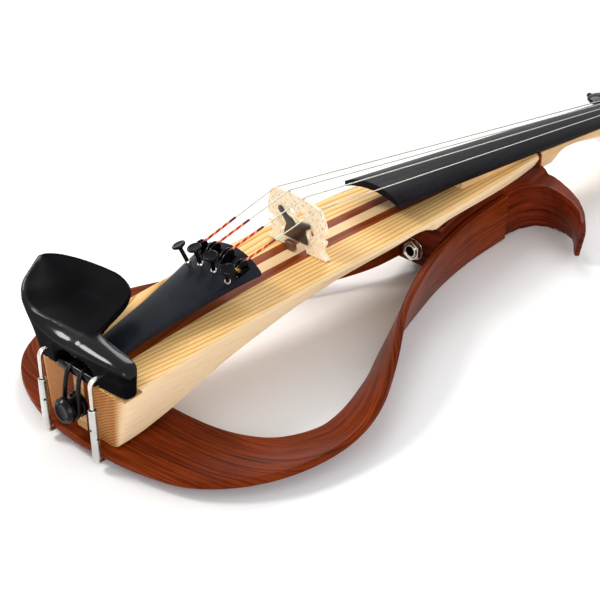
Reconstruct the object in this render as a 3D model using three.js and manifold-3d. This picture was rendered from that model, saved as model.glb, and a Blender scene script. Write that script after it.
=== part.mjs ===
// Electric violin with a slim laminated stick body and a bent wooden frame band.
// Lengths are in millimetres. X runs from the tail to the scroll, Y to the bass side, Z up.
// While it is built, the zero point is the top of the body under the middle of the bridge.

import * as THREE from 'three';
import { mergeVertices } from 'three/addons/utils/BufferGeometryUtils.js';
import Module from 'manifold-3d';

const wasm = await Module();
wasm.setup();

// Driving dimensions of the whole instrument
const stringLength = 327;
const stopLength = 202;
const tailLength = 158.2;
const bodyHalfWidth = 33.5;
const neckEndHalfWidth = 18.6;
const coreHalfWidth = 4;
const accentLayerWidth = 7;
const tailDepth = 31.5;
const waistDepth = 11.5;
const neckEndDepth = 19.5;
const tailFall = 9.8;
const neckFall = 5.8;
const bodyDraft = 6;
const topEdgeRadius = 5;
const bottomEdgeRadius = 2.4;
const tailCornerRadius = 6.5;
const sideLayerSetback = 6;
const seatGap = 0.3;
const cutOverrun = 5;

// Driving dimensions of the frame band and the shoulder block
const frameLength = 329.7;
const frameOverhang = 7.3;
const trebleHalfWidth = 108.7;
const bassHalfWidth = 99;
const bandThickness = 4.6;
const bandRise = 25;
const bandDrop = 7.6;
const bandEdgeChamfer = 1.1;
const blockHeight = 32;
const plateReach = 89;
const plateHeight = 22.4;
const hookReach = 78.4;
const hookTipHeight = 23;
const hookTipThickness = 4;

// Heights of the main levels, worked out from the depths above
const bandLevel = -tailFall - tailDepth - seatGap - bandThickness / 2;
const bodyUnderside = -neckEndDepth;
const blockTop = bodyUnderside - seatGap;
const blockBottom = blockTop - blockHeight;

// One finish for each kind of wood, metal and cord
const finishes = {
  spruce: { color: 0xe6c184, roughness: 0.35, metalness: 0 },
  mahogany: { color: 0x9c5324, roughness: 0.4, metalness: 0 },
  maple: { color: 0xead2a4, roughness: 0.4, metalness: 0 },
  walnut: { color: 0x7b3318, roughness: 0.35, metalness: 0 },
  ebony: { color: 0x17161b, roughness: 0.25, metalness: 0 },
  rosewood: { color: 0x2b1d1a, roughness: 0.4, metalness: 0 },
  bridgeMaple: { color: 0xefe0c0, roughness: 0.55, metalness: 0 },
  composite: { color: 0x22242e, roughness: 0.45, metalness: 0 },
  nickel: { color: 0xe2ddd6, roughness: 0.2, metalness: 1 },
  blackMetal: { color: 0x101013, roughness: 0.25, metalness: 0.6 },
  steel: { color: 0xc9c6c0, roughness: 0.25, metalness: 1 },
  plastic: { color: 0x141416, roughness: 0.5, metalness: 0 },
  cork: { color: 0xb98a5a, roughness: 0.9, metalness: 0 },
  bone: { color: 0x1a191c, roughness: 0.35, metalness: 0 },
};

const violin = new THREE.Group();

function addPiece(name, finish, geometry, parent = violin) {
  const material = new THREE.MeshStandardMaterial(finishes[finish]);
  const mesh = new THREE.Mesh(geometry, material);
  mesh.name = name;
  parent.add(mesh);
  return mesh;
}

// A ring's area vector, which shows the way that the ring faces
function ringNormal(ring) {
  const normal = new THREE.Vector3();
  ring.forEach((point, index) => {
    const next = ring[(index + 1) % ring.length];
    normal.add(new THREE.Vector3().crossVectors(point, next));
  });
  return normal.normalize();
}

function ringCentre(ring) {
  const sum = ring.reduce((total, point) => total.add(point), new THREE.Vector3());
  return sum.divideScalar(ring.length);
}

// Skins a row of rings of equal count and closes both ends
function loft(rings) {
  const travel = ringCentre(rings[1]).sub(ringCentre(rings[0]));
  const turned = ringNormal(rings[0]).dot(travel) < 0;
  const rows = rings.map((ring) => (turned ? [...ring].reverse() : ring));
  const count = rows[0].length;
  const positions = rows.flat().flatMap((point) => [point.x, point.y, point.z]);
  const faces = [];
  for (let row = 0; row + 1 < rows.length; row += 1) {
    for (let step = 0; step < count; step += 1) {
      const a = row * count + step;
      const b = row * count + (step + 1) % count;
      faces.push(a, b, b + count, a, b + count, a + count);
    }
  }
  addCap(faces, rows[0], 0, true);
  addCap(faces, rows[rows.length - 1], (rows.length - 1) * count, false);
  const geometry = new THREE.BufferGeometry();
  geometry.setAttribute('position', new THREE.Float32BufferAttribute(positions, 3));
  geometry.setIndex(faces);
  return geometry;
}

// Fills a ring with triangles cut from its outline as seen along its normal
function addCap(faces, ring, firstIndex, facesBack) {
  const normal = ringNormal(ring);
  const side = new THREE.Vector3().subVectors(ring[1], ring[0]).normalize();
  side.addScaledVector(normal, -side.dot(normal)).normalize();
  const up = new THREE.Vector3().crossVectors(normal, side);
  const outline = ring.map((point) => new THREE.Vector2(point.dot(side), point.dot(up)));
  THREE.ShapeUtils.triangulateShape(outline, []).forEach(([a, b, c]) => {
    const ab = new THREE.Vector2().subVectors(outline[b], outline[a]);
    const ac = new THREE.Vector2().subVectors(outline[c], outline[a]);
    const turnsLeft = ab.cross(ac) > 0;
    const keep = turnsLeft !== facesBack;
    faces.push(firstIndex + a, firstIndex + (keep ? b : c), firstIndex + (keep ? c : b));
  });
}

function toSolid(geometry) {
  const bare = geometry.clone();
  bare.deleteAttribute('normal');
  bare.deleteAttribute('uv');
  const merged = mergeVertices(bare);
  const vertProperties = Float32Array.from(merged.attributes.position.array);
  const triVerts = Uint32Array.from(merged.index.array);
  return new wasm.Manifold(new wasm.Mesh({ numProp: 3, vertProperties, triVerts }));
}

function toGeometry(solid) {
  const mesh = solid.getMesh();
  const geometry = new THREE.BufferGeometry();
  geometry.setAttribute('position', new THREE.Float32BufferAttribute(mesh.vertProperties, 3));
  geometry.setIndex([...mesh.triVerts]);
  return geometry;
}

function cut(geometry, ...tools) {
  return toGeometry(tools.reduce((solid, tool) => solid.subtract(toSolid(tool)), toSolid(geometry)));
}

// Cuts a piece and drops any loose chip that the cut leaves behind
function cutMainBody(geometry, ...tools) {
  const whole = tools.reduce((solid, tool) => solid.subtract(toSolid(tool)), toSolid(geometry));
  const bodies = whole.decompose().sort((one, other) => other.volume() - one.volume());
  return toGeometry(bodies[0]);
}

function join(geometry, ...others) {
  return toGeometry(others.reduce((solid, other) => solid.add(toSolid(other)), toSolid(geometry)));
}

// A straight round bar between two points, with the given number of sides
function bar(from, to, radius, sides) {
  const span = new THREE.Vector3().subVectors(to, from);
  const geometry = new THREE.CylinderGeometry(radius, radius, span.length(), sides);
  const turn = new THREE.Quaternion().setFromUnitVectors(
    new THREE.Vector3(0, 1, 0),
    span.clone().normalize(),
  );
  geometry.applyQuaternion(turn);
  const middle = new THREE.Vector3().addVectors(from, to).divideScalar(2);
  return geometry.translate(middle.x, middle.y, middle.z);
}

// Rounds every inner corner of a path
function roundedPath(corners, bend, steps) {
  const path = [corners[0]];
  for (let index = 1; index + 1 < corners.length; index += 1) {
    const corner = corners[index];
    const back = new THREE.Vector3().subVectors(corners[index - 1], corner);
    const ahead = new THREE.Vector3().subVectors(corners[index + 1], corner);
    const start = corner.clone().addScaledVector(back.clone().normalize(), Math.min(bend, back.length() / 2));
    const end = corner.clone().addScaledVector(ahead.clone().normalize(), Math.min(bend, ahead.length() / 2));
    path.push(...new THREE.QuadraticBezierCurve3(start, corner, end).getPoints(steps));
  }
  path.push(corners[corners.length - 1]);
  return path.filter((point, index) => index === 0 || point.distanceTo(path[index - 1]) > seatGap);
}

// A round cord or rod along a path, with the section at each corner set halfway
function cord(path, radius, sides) {
  const sideways = new THREE.Vector3(0, 1, 0);
  const first = new THREE.Vector3().subVectors(path[1], path[0]).normalize();
  if (Math.abs(first.y) > Math.SQRT1_2) sideways.set(1, 0, 0);
  return loft(path.map((point, index) => {
    const arriving = new THREE.Vector3().subVectors(point, path[Math.max(index - 1, 0)]).normalize();
    const leaving = new THREE.Vector3().subVectors(path[Math.min(index + 1, path.length - 1)], point);
    const along = arriving.add(leaving.normalize()).normalize();
    sideways.addScaledVector(along, -sideways.dot(along)).normalize();
    const up = new THREE.Vector3().crossVectors(along, sideways);
    const ring = [];
    for (let side = 0; side < sides; side += 1) {
      const angle = (side / sides) * 2 * Math.PI;
      ring.push(point.clone()
        .addScaledVector(sideways, radius * Math.cos(angle))
        .addScaledVector(up, radius * Math.sin(angle)));
    }
    return ring;
  }));
}

// Reads a smooth line through rows of [place, value] shares
function readShares(rows, place) {
  const last = rows.length - 1;
  if (place <= rows[0][0]) return rows[0][1];
  if (place >= rows[last][0]) return rows[last][1];
  const index = rows.findIndex((row) => row[0] > place) - 1;
  const [before, from] = [rows[Math.max(index - 1, 0)], rows[index]];
  const [to, after] = [rows[index + 1], rows[Math.min(index + 2, last)]];
  const span = to[0] - from[0];
  const share = (place - from[0]) / span;
  const startSlope = ((to[1] - before[1]) / (to[0] - before[0])) * span;
  const endSlope = ((after[1] - from[1]) / (after[0] - from[0])) * span;
  const square = share * share;
  const cube = square * share;
  return (2 * cube - 3 * square + 1) * from[1] + (cube - 2 * square + share) * startSlope
    + (3 * square - 2 * cube) * to[1] + (cube - square) * endSlope;
}

// Stick body: five glued layers on edge, deep at the tail and thin at the waist
const tailFallShares = [[0, 0], [0.32, 0.14], [0.64, 0.46], [1, 1]];
const neckFallShares = [[0, 0], [0.24, 0.09], [0.54, 0.34], [0.84, 0.76], [1, 1]];
const neckTaperShares = [[0, 0], [0.24, 0], [0.465, 0.115], [0.73, 0.44], [1, 1]];
const tailSweepShares = [[0, 0.12], [0.26, 0.25], [0.51, 0.49], [0.61, 0.65], [0.75, 0.86], [0.9, 1], [1, 1]];
const waistSweepShares = [[0, 0.12], [0.4, 0.04], [0.72, 0], [0.86, 0]];
const bodyStationShares = [-1, -0.99, -0.975, -0.955, -0.88, -0.75, -0.61, -0.51, -0.26, 0];
const waistStationShares = [0.36, 0.72, 0.86, 0.93, 0.97, 1];
const stopStationShares = [0.6, 0.75, 0.88];
const accentHalfWidth = coreHalfWidth + accentLayerWidth;
const sideLayerEnd = stopLength - sideLayerSetback;
const sideTipRadius = 3;
const edgeRoundSteps = 3;

function bodyTop(x) {
  if (x < 0) return -tailFall * readShares(tailFallShares, -x / tailLength);
  return -neckFall * readShares(neckFallShares, x / stopLength);
}

function bodyBottom(x) {
  const sweep = tailFall + tailDepth - waistDepth;
  if (x < 0) return -waistDepth - sweep * readShares(tailSweepShares, -x / tailLength);
  const share = x / plateReach;
  const hollow = -waistDepth - sweep * readShares(waistSweepShares, share);
  const drop = THREE.MathUtils.smoothstep(share, waistSweepShares[3][0], 1);
  return THREE.MathUtils.lerp(hollow, bodyUnderside, drop);
}

function bodyEdge(x) {
  const taper = readShares(neckTaperShares, Math.max(x, 0) / stopLength);
  return bodyHalfWidth - (bodyHalfWidth - neckEndHalfWidth) * taper;
}

// How far a rounded corner draws in at a given distance from its end
function cornerInset(distance, radius) {
  if (distance >= radius) return 0;
  return radius - Math.sqrt(radius * radius - (radius - distance) ** 2);
}

function layerStations(end) {
  const stations = [
    ...bodyStationShares.map((share) => share * tailLength),
    ...waistStationShares.map((share) => share * plateReach),
    ...stopStationShares.map((share) => share * stopLength),
  ];
  return stations.filter((x) => x < end - sideTipRadius).concat(end - sideTipRadius, end);
}

function flatLayer(inner, outer, end) {
  return loft(layerStations(end).map((x) => [
    new THREE.Vector3(x, inner, bodyTop(x)),
    new THREE.Vector3(x, outer, bodyTop(x)),
    new THREE.Vector3(x, outer, bodyBottom(x)),
    new THREE.Vector3(x, inner, bodyBottom(x)),
  ]));
}

function accentLayer(side) {
  const step = sideLayerEnd + seatGap;
  const stations = layerStations(stopLength).filter((x) => x < sideLayerEnd);
  return loft([
    ...stations.map((x) => accentRing(side, x, accentHalfWidth)),
    accentRing(side, step, accentHalfWidth),
    accentRing(side, step + seatGap, neckEndHalfWidth),
    accentRing(side, stopLength, neckEndHalfWidth),
  ]);
}

function accentRing(side, x, outer) {
  return [
    new THREE.Vector3(x, side * coreHalfWidth, bodyTop(x)),
    new THREE.Vector3(x, side * outer, bodyTop(x)),
    new THREE.Vector3(x, side * outer, bodyBottom(x)),
    new THREE.Vector3(x, side * coreHalfWidth, bodyBottom(x)),
  ];
}

function sideLayer(side) {
  return loft(layerStations(sideLayerEnd).map((x) => {
    const top = bodyTop(x);
    const bottom = bodyBottom(x);
    const tailInset = cornerInset(x + tailLength, tailCornerRadius);
    const tipInset = cornerInset(sideLayerEnd - x, sideTipRadius);
    const edge = bodyEdge(x) - tailInset - tipInset;
    const depth = top - bottom;
    const radius = Math.min(topEdgeRadius, (edge - accentHalfWidth) / 2, depth / 2);
    const low = edge - bodyDraft * (depth / tailDepth);
    const lowRadius = Math.min(bottomEdgeRadius, (low - accentHalfWidth) / 2);
    const outline = [[accentHalfWidth, top], [edge - radius, top]];
    for (let step = 1; step <= edgeRoundSteps; step += 1) {
      const angle = (step / edgeRoundSteps) * (Math.PI / 2);
      const across = edge - radius + radius * Math.sin(angle);
      outline.push([across, top - radius + radius * Math.cos(angle)]);
    }
    outline.push([low, bottom + lowRadius], [low - lowRadius, bottom], [accentHalfWidth, bottom]);
    return outline.map(([y, z]) => new THREE.Vector3(x, side * y, z));
  }));
}

// Frame band: one laminated ribbon, flat under the tail and twisted to stand on edge at the waist.
// Each row gives the outer edge and the inner edge as shares of the frame's length, half width
// and height change. The treble side ends at the block's flank, the bass side at its end face.
const trebleBandShares = [
  [0, 0, 0, 0.157, 0, 0],
  [0.006, 0.25, 0, 0.157, 0.15, 0],
  [0.018, 0.454, 0, 0.16, 0.3, 0],
  [0.041, 0.648, 0, 0.168, 0.45, 0],
  [0.085, 0.805, 0.02, 0.184, 0.585, 0],
  [0.14, 0.915, 0.05, 0.208, 0.69, 0.01],
  [0.202, 0.979, 0.09, 0.24, 0.752, 0.05],
  [0.265, 1, 0.15, 0.285, 0.787, 0.14],
  [0.32, 0.988, 0.27, 0.325, 0.775, 0.22],
  [0.37, 0.943, 0.44, 0.368, 0.74, 0.31],
  [0.42, 0.862, 0.61, 0.412, 0.69, 0.43],
  [0.461, 0.785, 0.75, 0.456, 0.632, 0.58],
  [0.5, 0.703, 0.87, 0.5, 0.56, 0.73],
  [0.545, 0.612, 0.95, 0.547, 0.487, 0.86],
  [0.605, 0.512, 0.99, 0.607, 0.421, 0.96],
  [0.69, 0.393, 0.99, 0.69, 0.335, 1],
  [0.774, 0.301, 0.955, 0.77, 0.262, 1],
  [0.88, 0.222, 0.945, 0.88, 0.2, 1],
  [1, 0.181, 0.94, 1, 0.174, 1],
];
const bassBandShares = [
  [0.77, 0.04, 0.945, 0.77, 0.03, -0.35],
  [0.714, 0.1, 0.91, 0.711, 0.06, -0.09],
  [0.651, 0.222, 0.76, 0.645, 0.136, 0.17],
  [0.581, 0.394, 0.54, 0.563, 0.263, 0.33],
  [0.508, 0.576, 0.32, 0.481, 0.419, 0.35],
  [0.438, 0.747, 0.16, 0.414, 0.556, 0.28],
  [0.372, 0.884, 0.06, 0.359, 0.677, 0.19],
  [0.311, 0.965, 0.02, 0.32, 0.747, 0.14],
  [0.256, 1, 0, 0.29, 0.773, 0.1],
  [0.196, 0.98, 0, 0.256, 0.773, 0.05],
  [0.135, 0.909, 0, 0.223, 0.727, 0],
  [0.086, 0.803, 0, 0.193, 0.626, 0],
  [0.051, 0.66, 0, 0.171, 0.485, 0],
  [0.025, 0.479, 0, 0.162, 0.333, 0],
  [0.008, 0.276, 0, 0.158, 0.172, 0],
];
const bandStationsPerRow = 2;
const bandStart = -tailLength - frameOverhang;

function bandEdgePoints(rows, halfWidth) {
  return rows.map(([outX, outY, rise, inX, inY, drop]) => ({
    outer: new THREE.Vector3(
      bandStart + outX * frameLength,
      outY * halfWidth,
      bandLevel + rise * bandRise,
    ),
    inner: new THREE.Vector3(
      bandStart + inX * frameLength,
      inY * halfWidth,
      bandLevel - drop * bandDrop,
    ),
  }));
}

const bandRows = [
  ...bandEdgePoints(bassBandShares, bassHalfWidth),
  ...bandEdgePoints(trebleBandShares, -trebleHalfWidth),
];
const outerEdge = new THREE.CatmullRomCurve3(bandRows.map((row) => row.outer));
const innerEdge = new THREE.CatmullRomCurve3(bandRows.map((row) => row.inner));

// The band's solid; a clearance thickens it and lengthens it for cutting its neighbour
function bandSolid(clearance) {
  const count = (bandRows.length - 1) * bandStationsPerRow;
  const rings = [];
  for (let index = 0; index <= count; index += 1) {
    const share = index / count;
    const outer = outerEdge.getPoint(share);
    const inner = innerEdge.getPoint(share);
    const across = new THREE.Vector3().subVectors(outer, inner);
    const along = outerEdge.getTangent(share).add(innerEdge.getTangent(share)).normalize();
    const middle = new THREE.Vector3().addVectors(outer, inner).divideScalar(2);
    if (index === 0) middle.addScaledVector(along, -clearance);
    if (index === count) middle.addScaledVector(along, clearance);
    const half = across.length() / 2 + clearance;
    across.normalize();
    const normal = new THREE.Vector3().crossVectors(along, across).normalize();
    rings.push(bandRing(middle, across, normal, half, bandThickness / 2 + clearance));
  }
  return loft(rings);
}

// A flat section with its four corners taken off
function bandRing(middle, across, normal, half, thick) {
  const c = bandEdgeChamfer;
  const outline = [
    [half, thick - c], [half - c, thick], [c - half, thick], [-half, thick - c],
    [-half, c - thick], [c - half, -thick], [half - c, -thick], [half, c - thick],
  ];
  return outline.map(([wide, deep]) => (
    middle.clone().addScaledVector(across, wide).addScaledVector(normal, deep)
  ));
}

// Shoulder block: carved from one thick piece, with the treble upper bout as a tapering hook.
// Rows give places from the neck joint back as shares of the block's length, and across as
// shares of the hook's reach, for the top outline and then for the bottom outline.
const blockLength = stopLength - plateReach;
const blockPlanShares = [
  [1, 0.1, 1, 0.1],
  [0.7, 0.19, 0.7, 0.17],
  [0.35, 0.225, 0.4, 0.2],
  [0, 0.225, 0.12, 0.2],
  [0, 0, 0.1, 0],
  [0, -0.185, 0.05, -0.17],
  [-0.035, -0.235, 0, -0.24],
  [-0.04, -0.32, -0.015, -0.33],
  [-0.01, -0.435, 0, -0.44],
  [0.045, -0.59, 0.03, -0.585],
  [0.115, -0.745, 0.09, -0.735],
  [0.215, -0.895, 0.18, -0.885],
  [0.31, -1, 0.25, -0.98],
  [0.335, -0.98, 0.275, -0.955],
  [0.235, -0.86, 0.205, -0.85],
  [0.162, -0.716, 0.145, -0.735],
  [0.121, -0.574, 0.09, -0.62],
  [0.103, -0.455, 0.055, -0.49],
  [0.115, -0.368, 0.05, -0.385],
  [0.147, -0.3, 0.085, -0.305],
  [0.204, -0.259, 0.17, -0.255],
  [0.262, -0.251, 0.25, -0.246],
  [0.334, -0.246, 0.334, -0.238],
  [0.5, -0.268, 0.5, -0.243],
  [0.66, -0.3, 0.66, -0.268],
  [0.8, -0.345, 0.8, -0.3],
  [1, -0.395, 1, -0.34],
];
const hookTipRow = 12;
const hookTaperRows = 5;
const undersideSlopeShare = 0.55;
const blockLevelShares = [0, 0.5, 1];

// How far the block's underside is above its lowest level at an outline point
function blockLift(row, fromJoint) {
  const tipShare = 1 - Math.abs(row - hookTipRow - 0.5) / hookTaperRows;
  const tipLift = Math.max(tipShare, 0) * (blockHeight - hookTipHeight);
  const plateShare = (fromJoint - undersideSlopeShare) / (1 - undersideSlopeShare);
  const plateLift = Math.max(plateShare, 0) * (blockHeight - plateHeight);
  return Math.max(tipLift, plateLift);
}

function shoulderBlockSolid() {
  const rings = blockLevelShares.map((level) => blockPlanShares.map((row, index) => {
    const along = THREE.MathUtils.lerp(row[0], row[2], level);
    const across = THREE.MathUtils.lerp(row[1], row[3], level);
    const lift = blockLift(index, along);
    const bottom = blockBottom + lift;
    return new THREE.Vector3(
      stopLength - along * blockLength,
      across * hookReach,
      THREE.MathUtils.lerp(blockTop, bottom, level),
    );
  }));
  return loft(rings);
}

// Fingerboard: a long tapered arch of dark wood, hollowed under its free end
const fingerboardLength = 269;
const fingerboardStart = 60;
const fingerboardWideHalf = 21.2;
const fingerboardNutHalf = 12;
const fingerboardArch = 42;
const fingerboardEdge = 3.4;
const fingerboardEndHeight = 18.8;
const fingerboardJointHeight = 1.4;
const fingerboardHollow = 4.6;
const fingerboardSteps = 10;
const fingerboardStationShares = [0, 0.08, 0.16, 0.25, 0.53, 1];
const hollowFadeShares = [[0, 1], [0.16, 0.75], [0.25, 0.06], [1, 0.06]];
const nutPlace = stringLength - 1;

// The board falls evenly from its free end to its height over the neck joint
const fingerboardDrop = fingerboardEndHeight - fingerboardJointHeight;
const fingerboardFall = fingerboardDrop / (stopLength - fingerboardStart);

function fingerboardHalf(x) {
  const share = (x - fingerboardStart) / fingerboardLength;
  return THREE.MathUtils.lerp(fingerboardWideHalf, fingerboardNutHalf, share);
}

function fingerboardCrown(x) {
  return fingerboardEndHeight - fingerboardFall * (x - fingerboardStart);
}

function archSag(half, radius) {
  return radius - Math.sqrt(radius * radius - half * half);
}

function fingerboardUnderside(x) {
  return fingerboardCrown(x) - archSag(fingerboardHalf(x), fingerboardArch) - fingerboardEdge;
}

const nutThickness = 5;
const boardEnd = nutPlace - seatGap;

function fingerboardSolid() {
  return loft(fingerboardStationShares.map((share) => {
    const x = THREE.MathUtils.lerp(fingerboardStart, boardEnd, share);
    const half = fingerboardHalf(x);
    const hollow = fingerboardHollow * readShares(hollowFadeShares, share);
    const ring = [];
    for (let step = 0; step <= fingerboardSteps; step += 1) {
      const y = half * (1 - (2 * step) / fingerboardSteps);
      ring.push(new THREE.Vector3(x, y, fingerboardCrown(x) - archSag(y, fingerboardArch)));
    }
    for (let step = 0; step <= fingerboardSteps; step += 1) {
      const across = (2 * step) / fingerboardSteps - 1;
      const lift = hollow * (1 - across * across);
      ring.push(new THREE.Vector3(x, half * across, fingerboardUnderside(x) + lift));
    }
    return ring;
  }));
}

// Pale wedge that carries the fingerboard above the body
const wedgeLength = 64;
const wedgeSetback = 16;
const wedgeEnd = stopLength - wedgeSetback;
const wedgeStart = wedgeEnd - wedgeLength;
const wedgeHalfWidth = 11.6;

function wedgeSolid() {
  return loft([wedgeStart, wedgeEnd].map((x) => {
    const low = bodyTop(x) + seatGap;
    const high = fingerboardUnderside(x) - seatGap;
    return [
      new THREE.Vector3(x, wedgeHalfWidth, high),
      new THREE.Vector3(x, wedgeHalfWidth, low),
      new THREE.Vector3(x, -wedgeHalfWidth, low),
      new THREE.Vector3(x, -wedgeHalfWidth, high),
    ];
  }));
}

// Neck with its heel, then the peg box and the scroll, all of one piece of maple
const jointStripThickness = 1;
const neckStart = stopLength + jointStripThickness + 2 * seatGap;
const neckDepth = 19.5;
const heelDepth = 30;
const neckRoundSteps = 12;
const neckRoundPower = 0.7;
const neckStationShares = [0, 0.1, 0.155, 0.19, 0.23, 0.28, 0.36, 0.6, 0.85, 0.93, 0.97, 1];
const heelFadeShares = [[0, 1], [0.155, 1], [0.19, 0.55], [0.23, 0.2], [0.28, 0.04], [0.36, 0], [1, 0]];
const pegBoxLength = 70;
const pegBoxDepth = 19;
const pegBoxEndDepth = 17;
const pegBoxHalfWidth = 12.4;
const pegBoxEndHalfWidth = 9.4;
const pegBoxWall = 4.2;
const pegBoxFall = 0.13;
const pegBoxFloor = 4;
const pegBoxCornerRadius = 4;
const headStart = nutPlace + nutThickness;
const pegBoxEnd = headStart + pegBoxLength;

function neckHalf(x) {
  const share = (x - stopLength) / (nutPlace - stopLength);
  return THREE.MathUtils.lerp(neckEndHalfWidth - 1.6, fingerboardHalf(nutPlace), share);
}

function neckRing(x, half, top, depth) {
  const ring = [];
  for (let step = 0; step <= neckRoundSteps; step += 1) {
    const angle = (step / neckRoundSteps) * Math.PI;
    const drop = depth * Math.sin(angle) ** neckRoundPower;
    ring.push(new THREE.Vector3(x, -half * Math.cos(angle), top - drop));
  }
  return ring;
}

function headTop(x) {
  return fingerboardUnderside(nutPlace) - seatGap - pegBoxFall * (x - headStart);
}

// The peg box and the neck share one kind of section, so that one skin covers both
function neckSolid() {
  const rings = neckStationShares.map((share) => {
    const x = THREE.MathUtils.lerp(neckStart, headStart, share);
    const reach = Math.min(x, nutPlace);
    const top = fingerboardUnderside(reach) - seatGap;
    const slim = neckDepth - (fingerboardCrown(reach) - top);
    const heel = heelDepth - (fingerboardCrown(reach) - top);
    const depth = THREE.MathUtils.lerp(slim, heel, readShares(heelFadeShares, share));
    return neckRing(x, neckHalf(reach), top, depth);
  });
  return loft(rings.concat(pegBoxRings()));
}

const pegBoxStationShares = [0.04, 0.3, 0.7, 1];

function pegBoxRings() {
  return pegBoxStationShares.map((share) => {
    const x = headStart + share * pegBoxLength;
    const half = THREE.MathUtils.lerp(pegBoxHalfWidth, pegBoxEndHalfWidth, share);
    const depth = THREE.MathUtils.lerp(pegBoxDepth, pegBoxEndDepth, share);
    return boxRing(x, half, headTop(x), depth);
  });
}

// A section with an open-topped box outline, on as many points as the neck's
function boxRing(x, half, top, depth) {
  const round = pegBoxCornerRadius;
  const outline = [
    [-half, 0], [-half, 0.3 * depth], [-half, depth - round], [-half + 0.3 * round, depth - 0.3 * round],
    [-half + round, depth], [-half / 3, depth], [0, depth], [half / 3, depth],
    [half - round, depth], [half - 0.3 * round, depth - 0.3 * round], [half, depth - round],
    [half, 0.3 * depth], [half, 0],
  ];
  return outline.map(([y, down]) => new THREE.Vector3(x, y, top - down));
}

// Scroll: a band that winds inward round its eye and grows wider as it goes
const scrollRadius = 15;
const scrollEyeRadius = 4.2;
const scrollTurns = 1.6;
const scrollThickness = 5.2;
const scrollHalfWidth = 7;
const scrollEyeHalfWidth = 15;
const scrollSteps = 22;
const scrollGap = 0.7;
const scrollLead = 4;
const scrollRise = 1.5;
const scrollRoot = 3;
const scrollEyeProud = 1.5;
const scrollCentreX = pegBoxEnd + scrollRadius - scrollLead;
const scrollCentreZ = headTop(pegBoxEnd) - pegBoxEndDepth + scrollRadius - scrollRise;
const scrollWidthShares = [[0, 0.25], [0.3, 0], [0.7, 0.25], [1, 1]];

function scrollSolid() {
  const rings = [scrollRing(-Math.PI / 2, scrollRadius - scrollLead + scrollRoot, 0)];
  for (let step = 0; step <= scrollSteps; step += 1) {
    const share = step / scrollSteps;
    rings.push(scrollRing((share * scrollTurns * 2 - 0.5) * Math.PI, 0, share));
  }
  const eye = new THREE.CylinderGeometry(
    scrollEyeRadius,
    scrollEyeRadius,
    2 * (scrollEyeHalfWidth + scrollEyeProud),
    16,
  ).translate(scrollCentreX, 0, scrollCentreZ);
  return join(loft(rings), eye);
}

function scrollRing(angle, leadBack, share) {
  const pitch = scrollThickness + scrollGap;
  const middle = scrollRadius - scrollThickness / 2 - pitch * share * scrollTurns;
  const spread = readShares(scrollWidthShares, share);
  const half = THREE.MathUtils.lerp(scrollHalfWidth, scrollEyeHalfWidth, spread);
  const corners = [[-1, -1], [1, -1], [1, 1], [-1, 1]];
  return corners.map(([across, outward]) => {
    const radius = middle + (outward * scrollThickness) / 2;
    return new THREE.Vector3(
      scrollCentreX + radius * Math.cos(angle) - leadBack,
      across * half,
      scrollCentreZ + radius * Math.sin(angle),
    );
  });
}

// Tuning pegs: four tapered ebony pegs, two from each side, with a thumb piece at the end
const pegTipRadius = 3.1;
const pegCollarSideRadius = 3.8;
const pegCollarRadius = 5.4;
const pegCollarLength = 3;
const pegStandOff = 9;
const pegTipStandOut = 0.8;
const pegThumbLength = 20;
const pegThumbHalfHeight = 10;
const pegThumbHalfThickness = 3.4;
const pegEndBallRadius = 2.2;
const pegAxisDrop = 7.2;
const pegSides = 12;
const pegs = [
  { string: 'g', share: 0.215, side: 1, windY: 4.2, wire: 0.42 },
  { string: 'd', share: 0.557, side: 1, windY: 1.6, wire: 0.4 },
  { string: 'a', share: 0.729, side: -1, windY: -1.6, wire: 0.38 },
  { string: 'e', share: 0.386, side: -1, windY: -3.6, wire: 0.34 },
];

function pegBoxHalfAt(x) {
  const share = (x - headStart) / pegBoxLength;
  return THREE.MathUtils.lerp(pegBoxHalfWidth, pegBoxEndHalfWidth, share);
}

function pegX(peg) {
  return headStart + peg.share * pegBoxLength;
}

function pegZ(peg) {
  return headTop(pegX(peg)) - pegAxisDrop;
}

// Shank radius at a height along the peg, counted from its tip
function pegShankRadius(peg, height) {
  const length = 2 * pegBoxHalfAt(pegX(peg)) + pegStandOff + pegTipStandOut;
  return THREE.MathUtils.lerp(pegTipRadius, pegCollarSideRadius, height / length);
}

function pegSolid(peg, clearance) {
  const boxHalf = pegBoxHalfAt(pegX(peg));
  const length = 2 * boxHalf + pegStandOff + pegTipStandOut;
  const tip = pegTipRadius + clearance;
  const root = pegCollarSideRadius + clearance;
  let geometry;
  if (clearance > 0) {
    geometry = new THREE.CylinderGeometry(root, tip, length, pegSides);
    geometry.translate(0, length / 2, 0);
  } else {
    const collarTop = length + pegCollarLength;
    const profile = [
      [0, 0], [0.8 * tip, 0], [tip, 0.25 * tip], [root, length],
      [pegCollarRadius, length + 0.2 * pegCollarLength], [pegCollarRadius, length + 0.7 * pegCollarLength],
      [0.55 * pegCollarRadius, collarTop], [0.5 * pegCollarRadius, collarTop + pegCollarLength],
      [0, collarTop + pegCollarLength],
    ].map(([radius, height]) => new THREE.Vector2(radius, height));
    const thumb = new THREE.SphereGeometry(1, 14, 8);
    thumb.scale(pegThumbHalfHeight, pegThumbLength / 2, pegThumbHalfThickness);
    thumb.translate(0, collarTop + pegThumbLength / 2, 0);
    const ball = new THREE.SphereGeometry(pegEndBallRadius, 8, 6);
    ball.translate(0, collarTop + pegThumbLength, 0);
    geometry = join(new THREE.LatheGeometry(profile, pegSides), thumb, ball);
  }
  if (peg.side < 0) geometry.rotateZ(Math.PI);
  return geometry.translate(pegX(peg), -peg.side * (boxHalf + pegTipStandOut), pegZ(peg));
}

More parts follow.
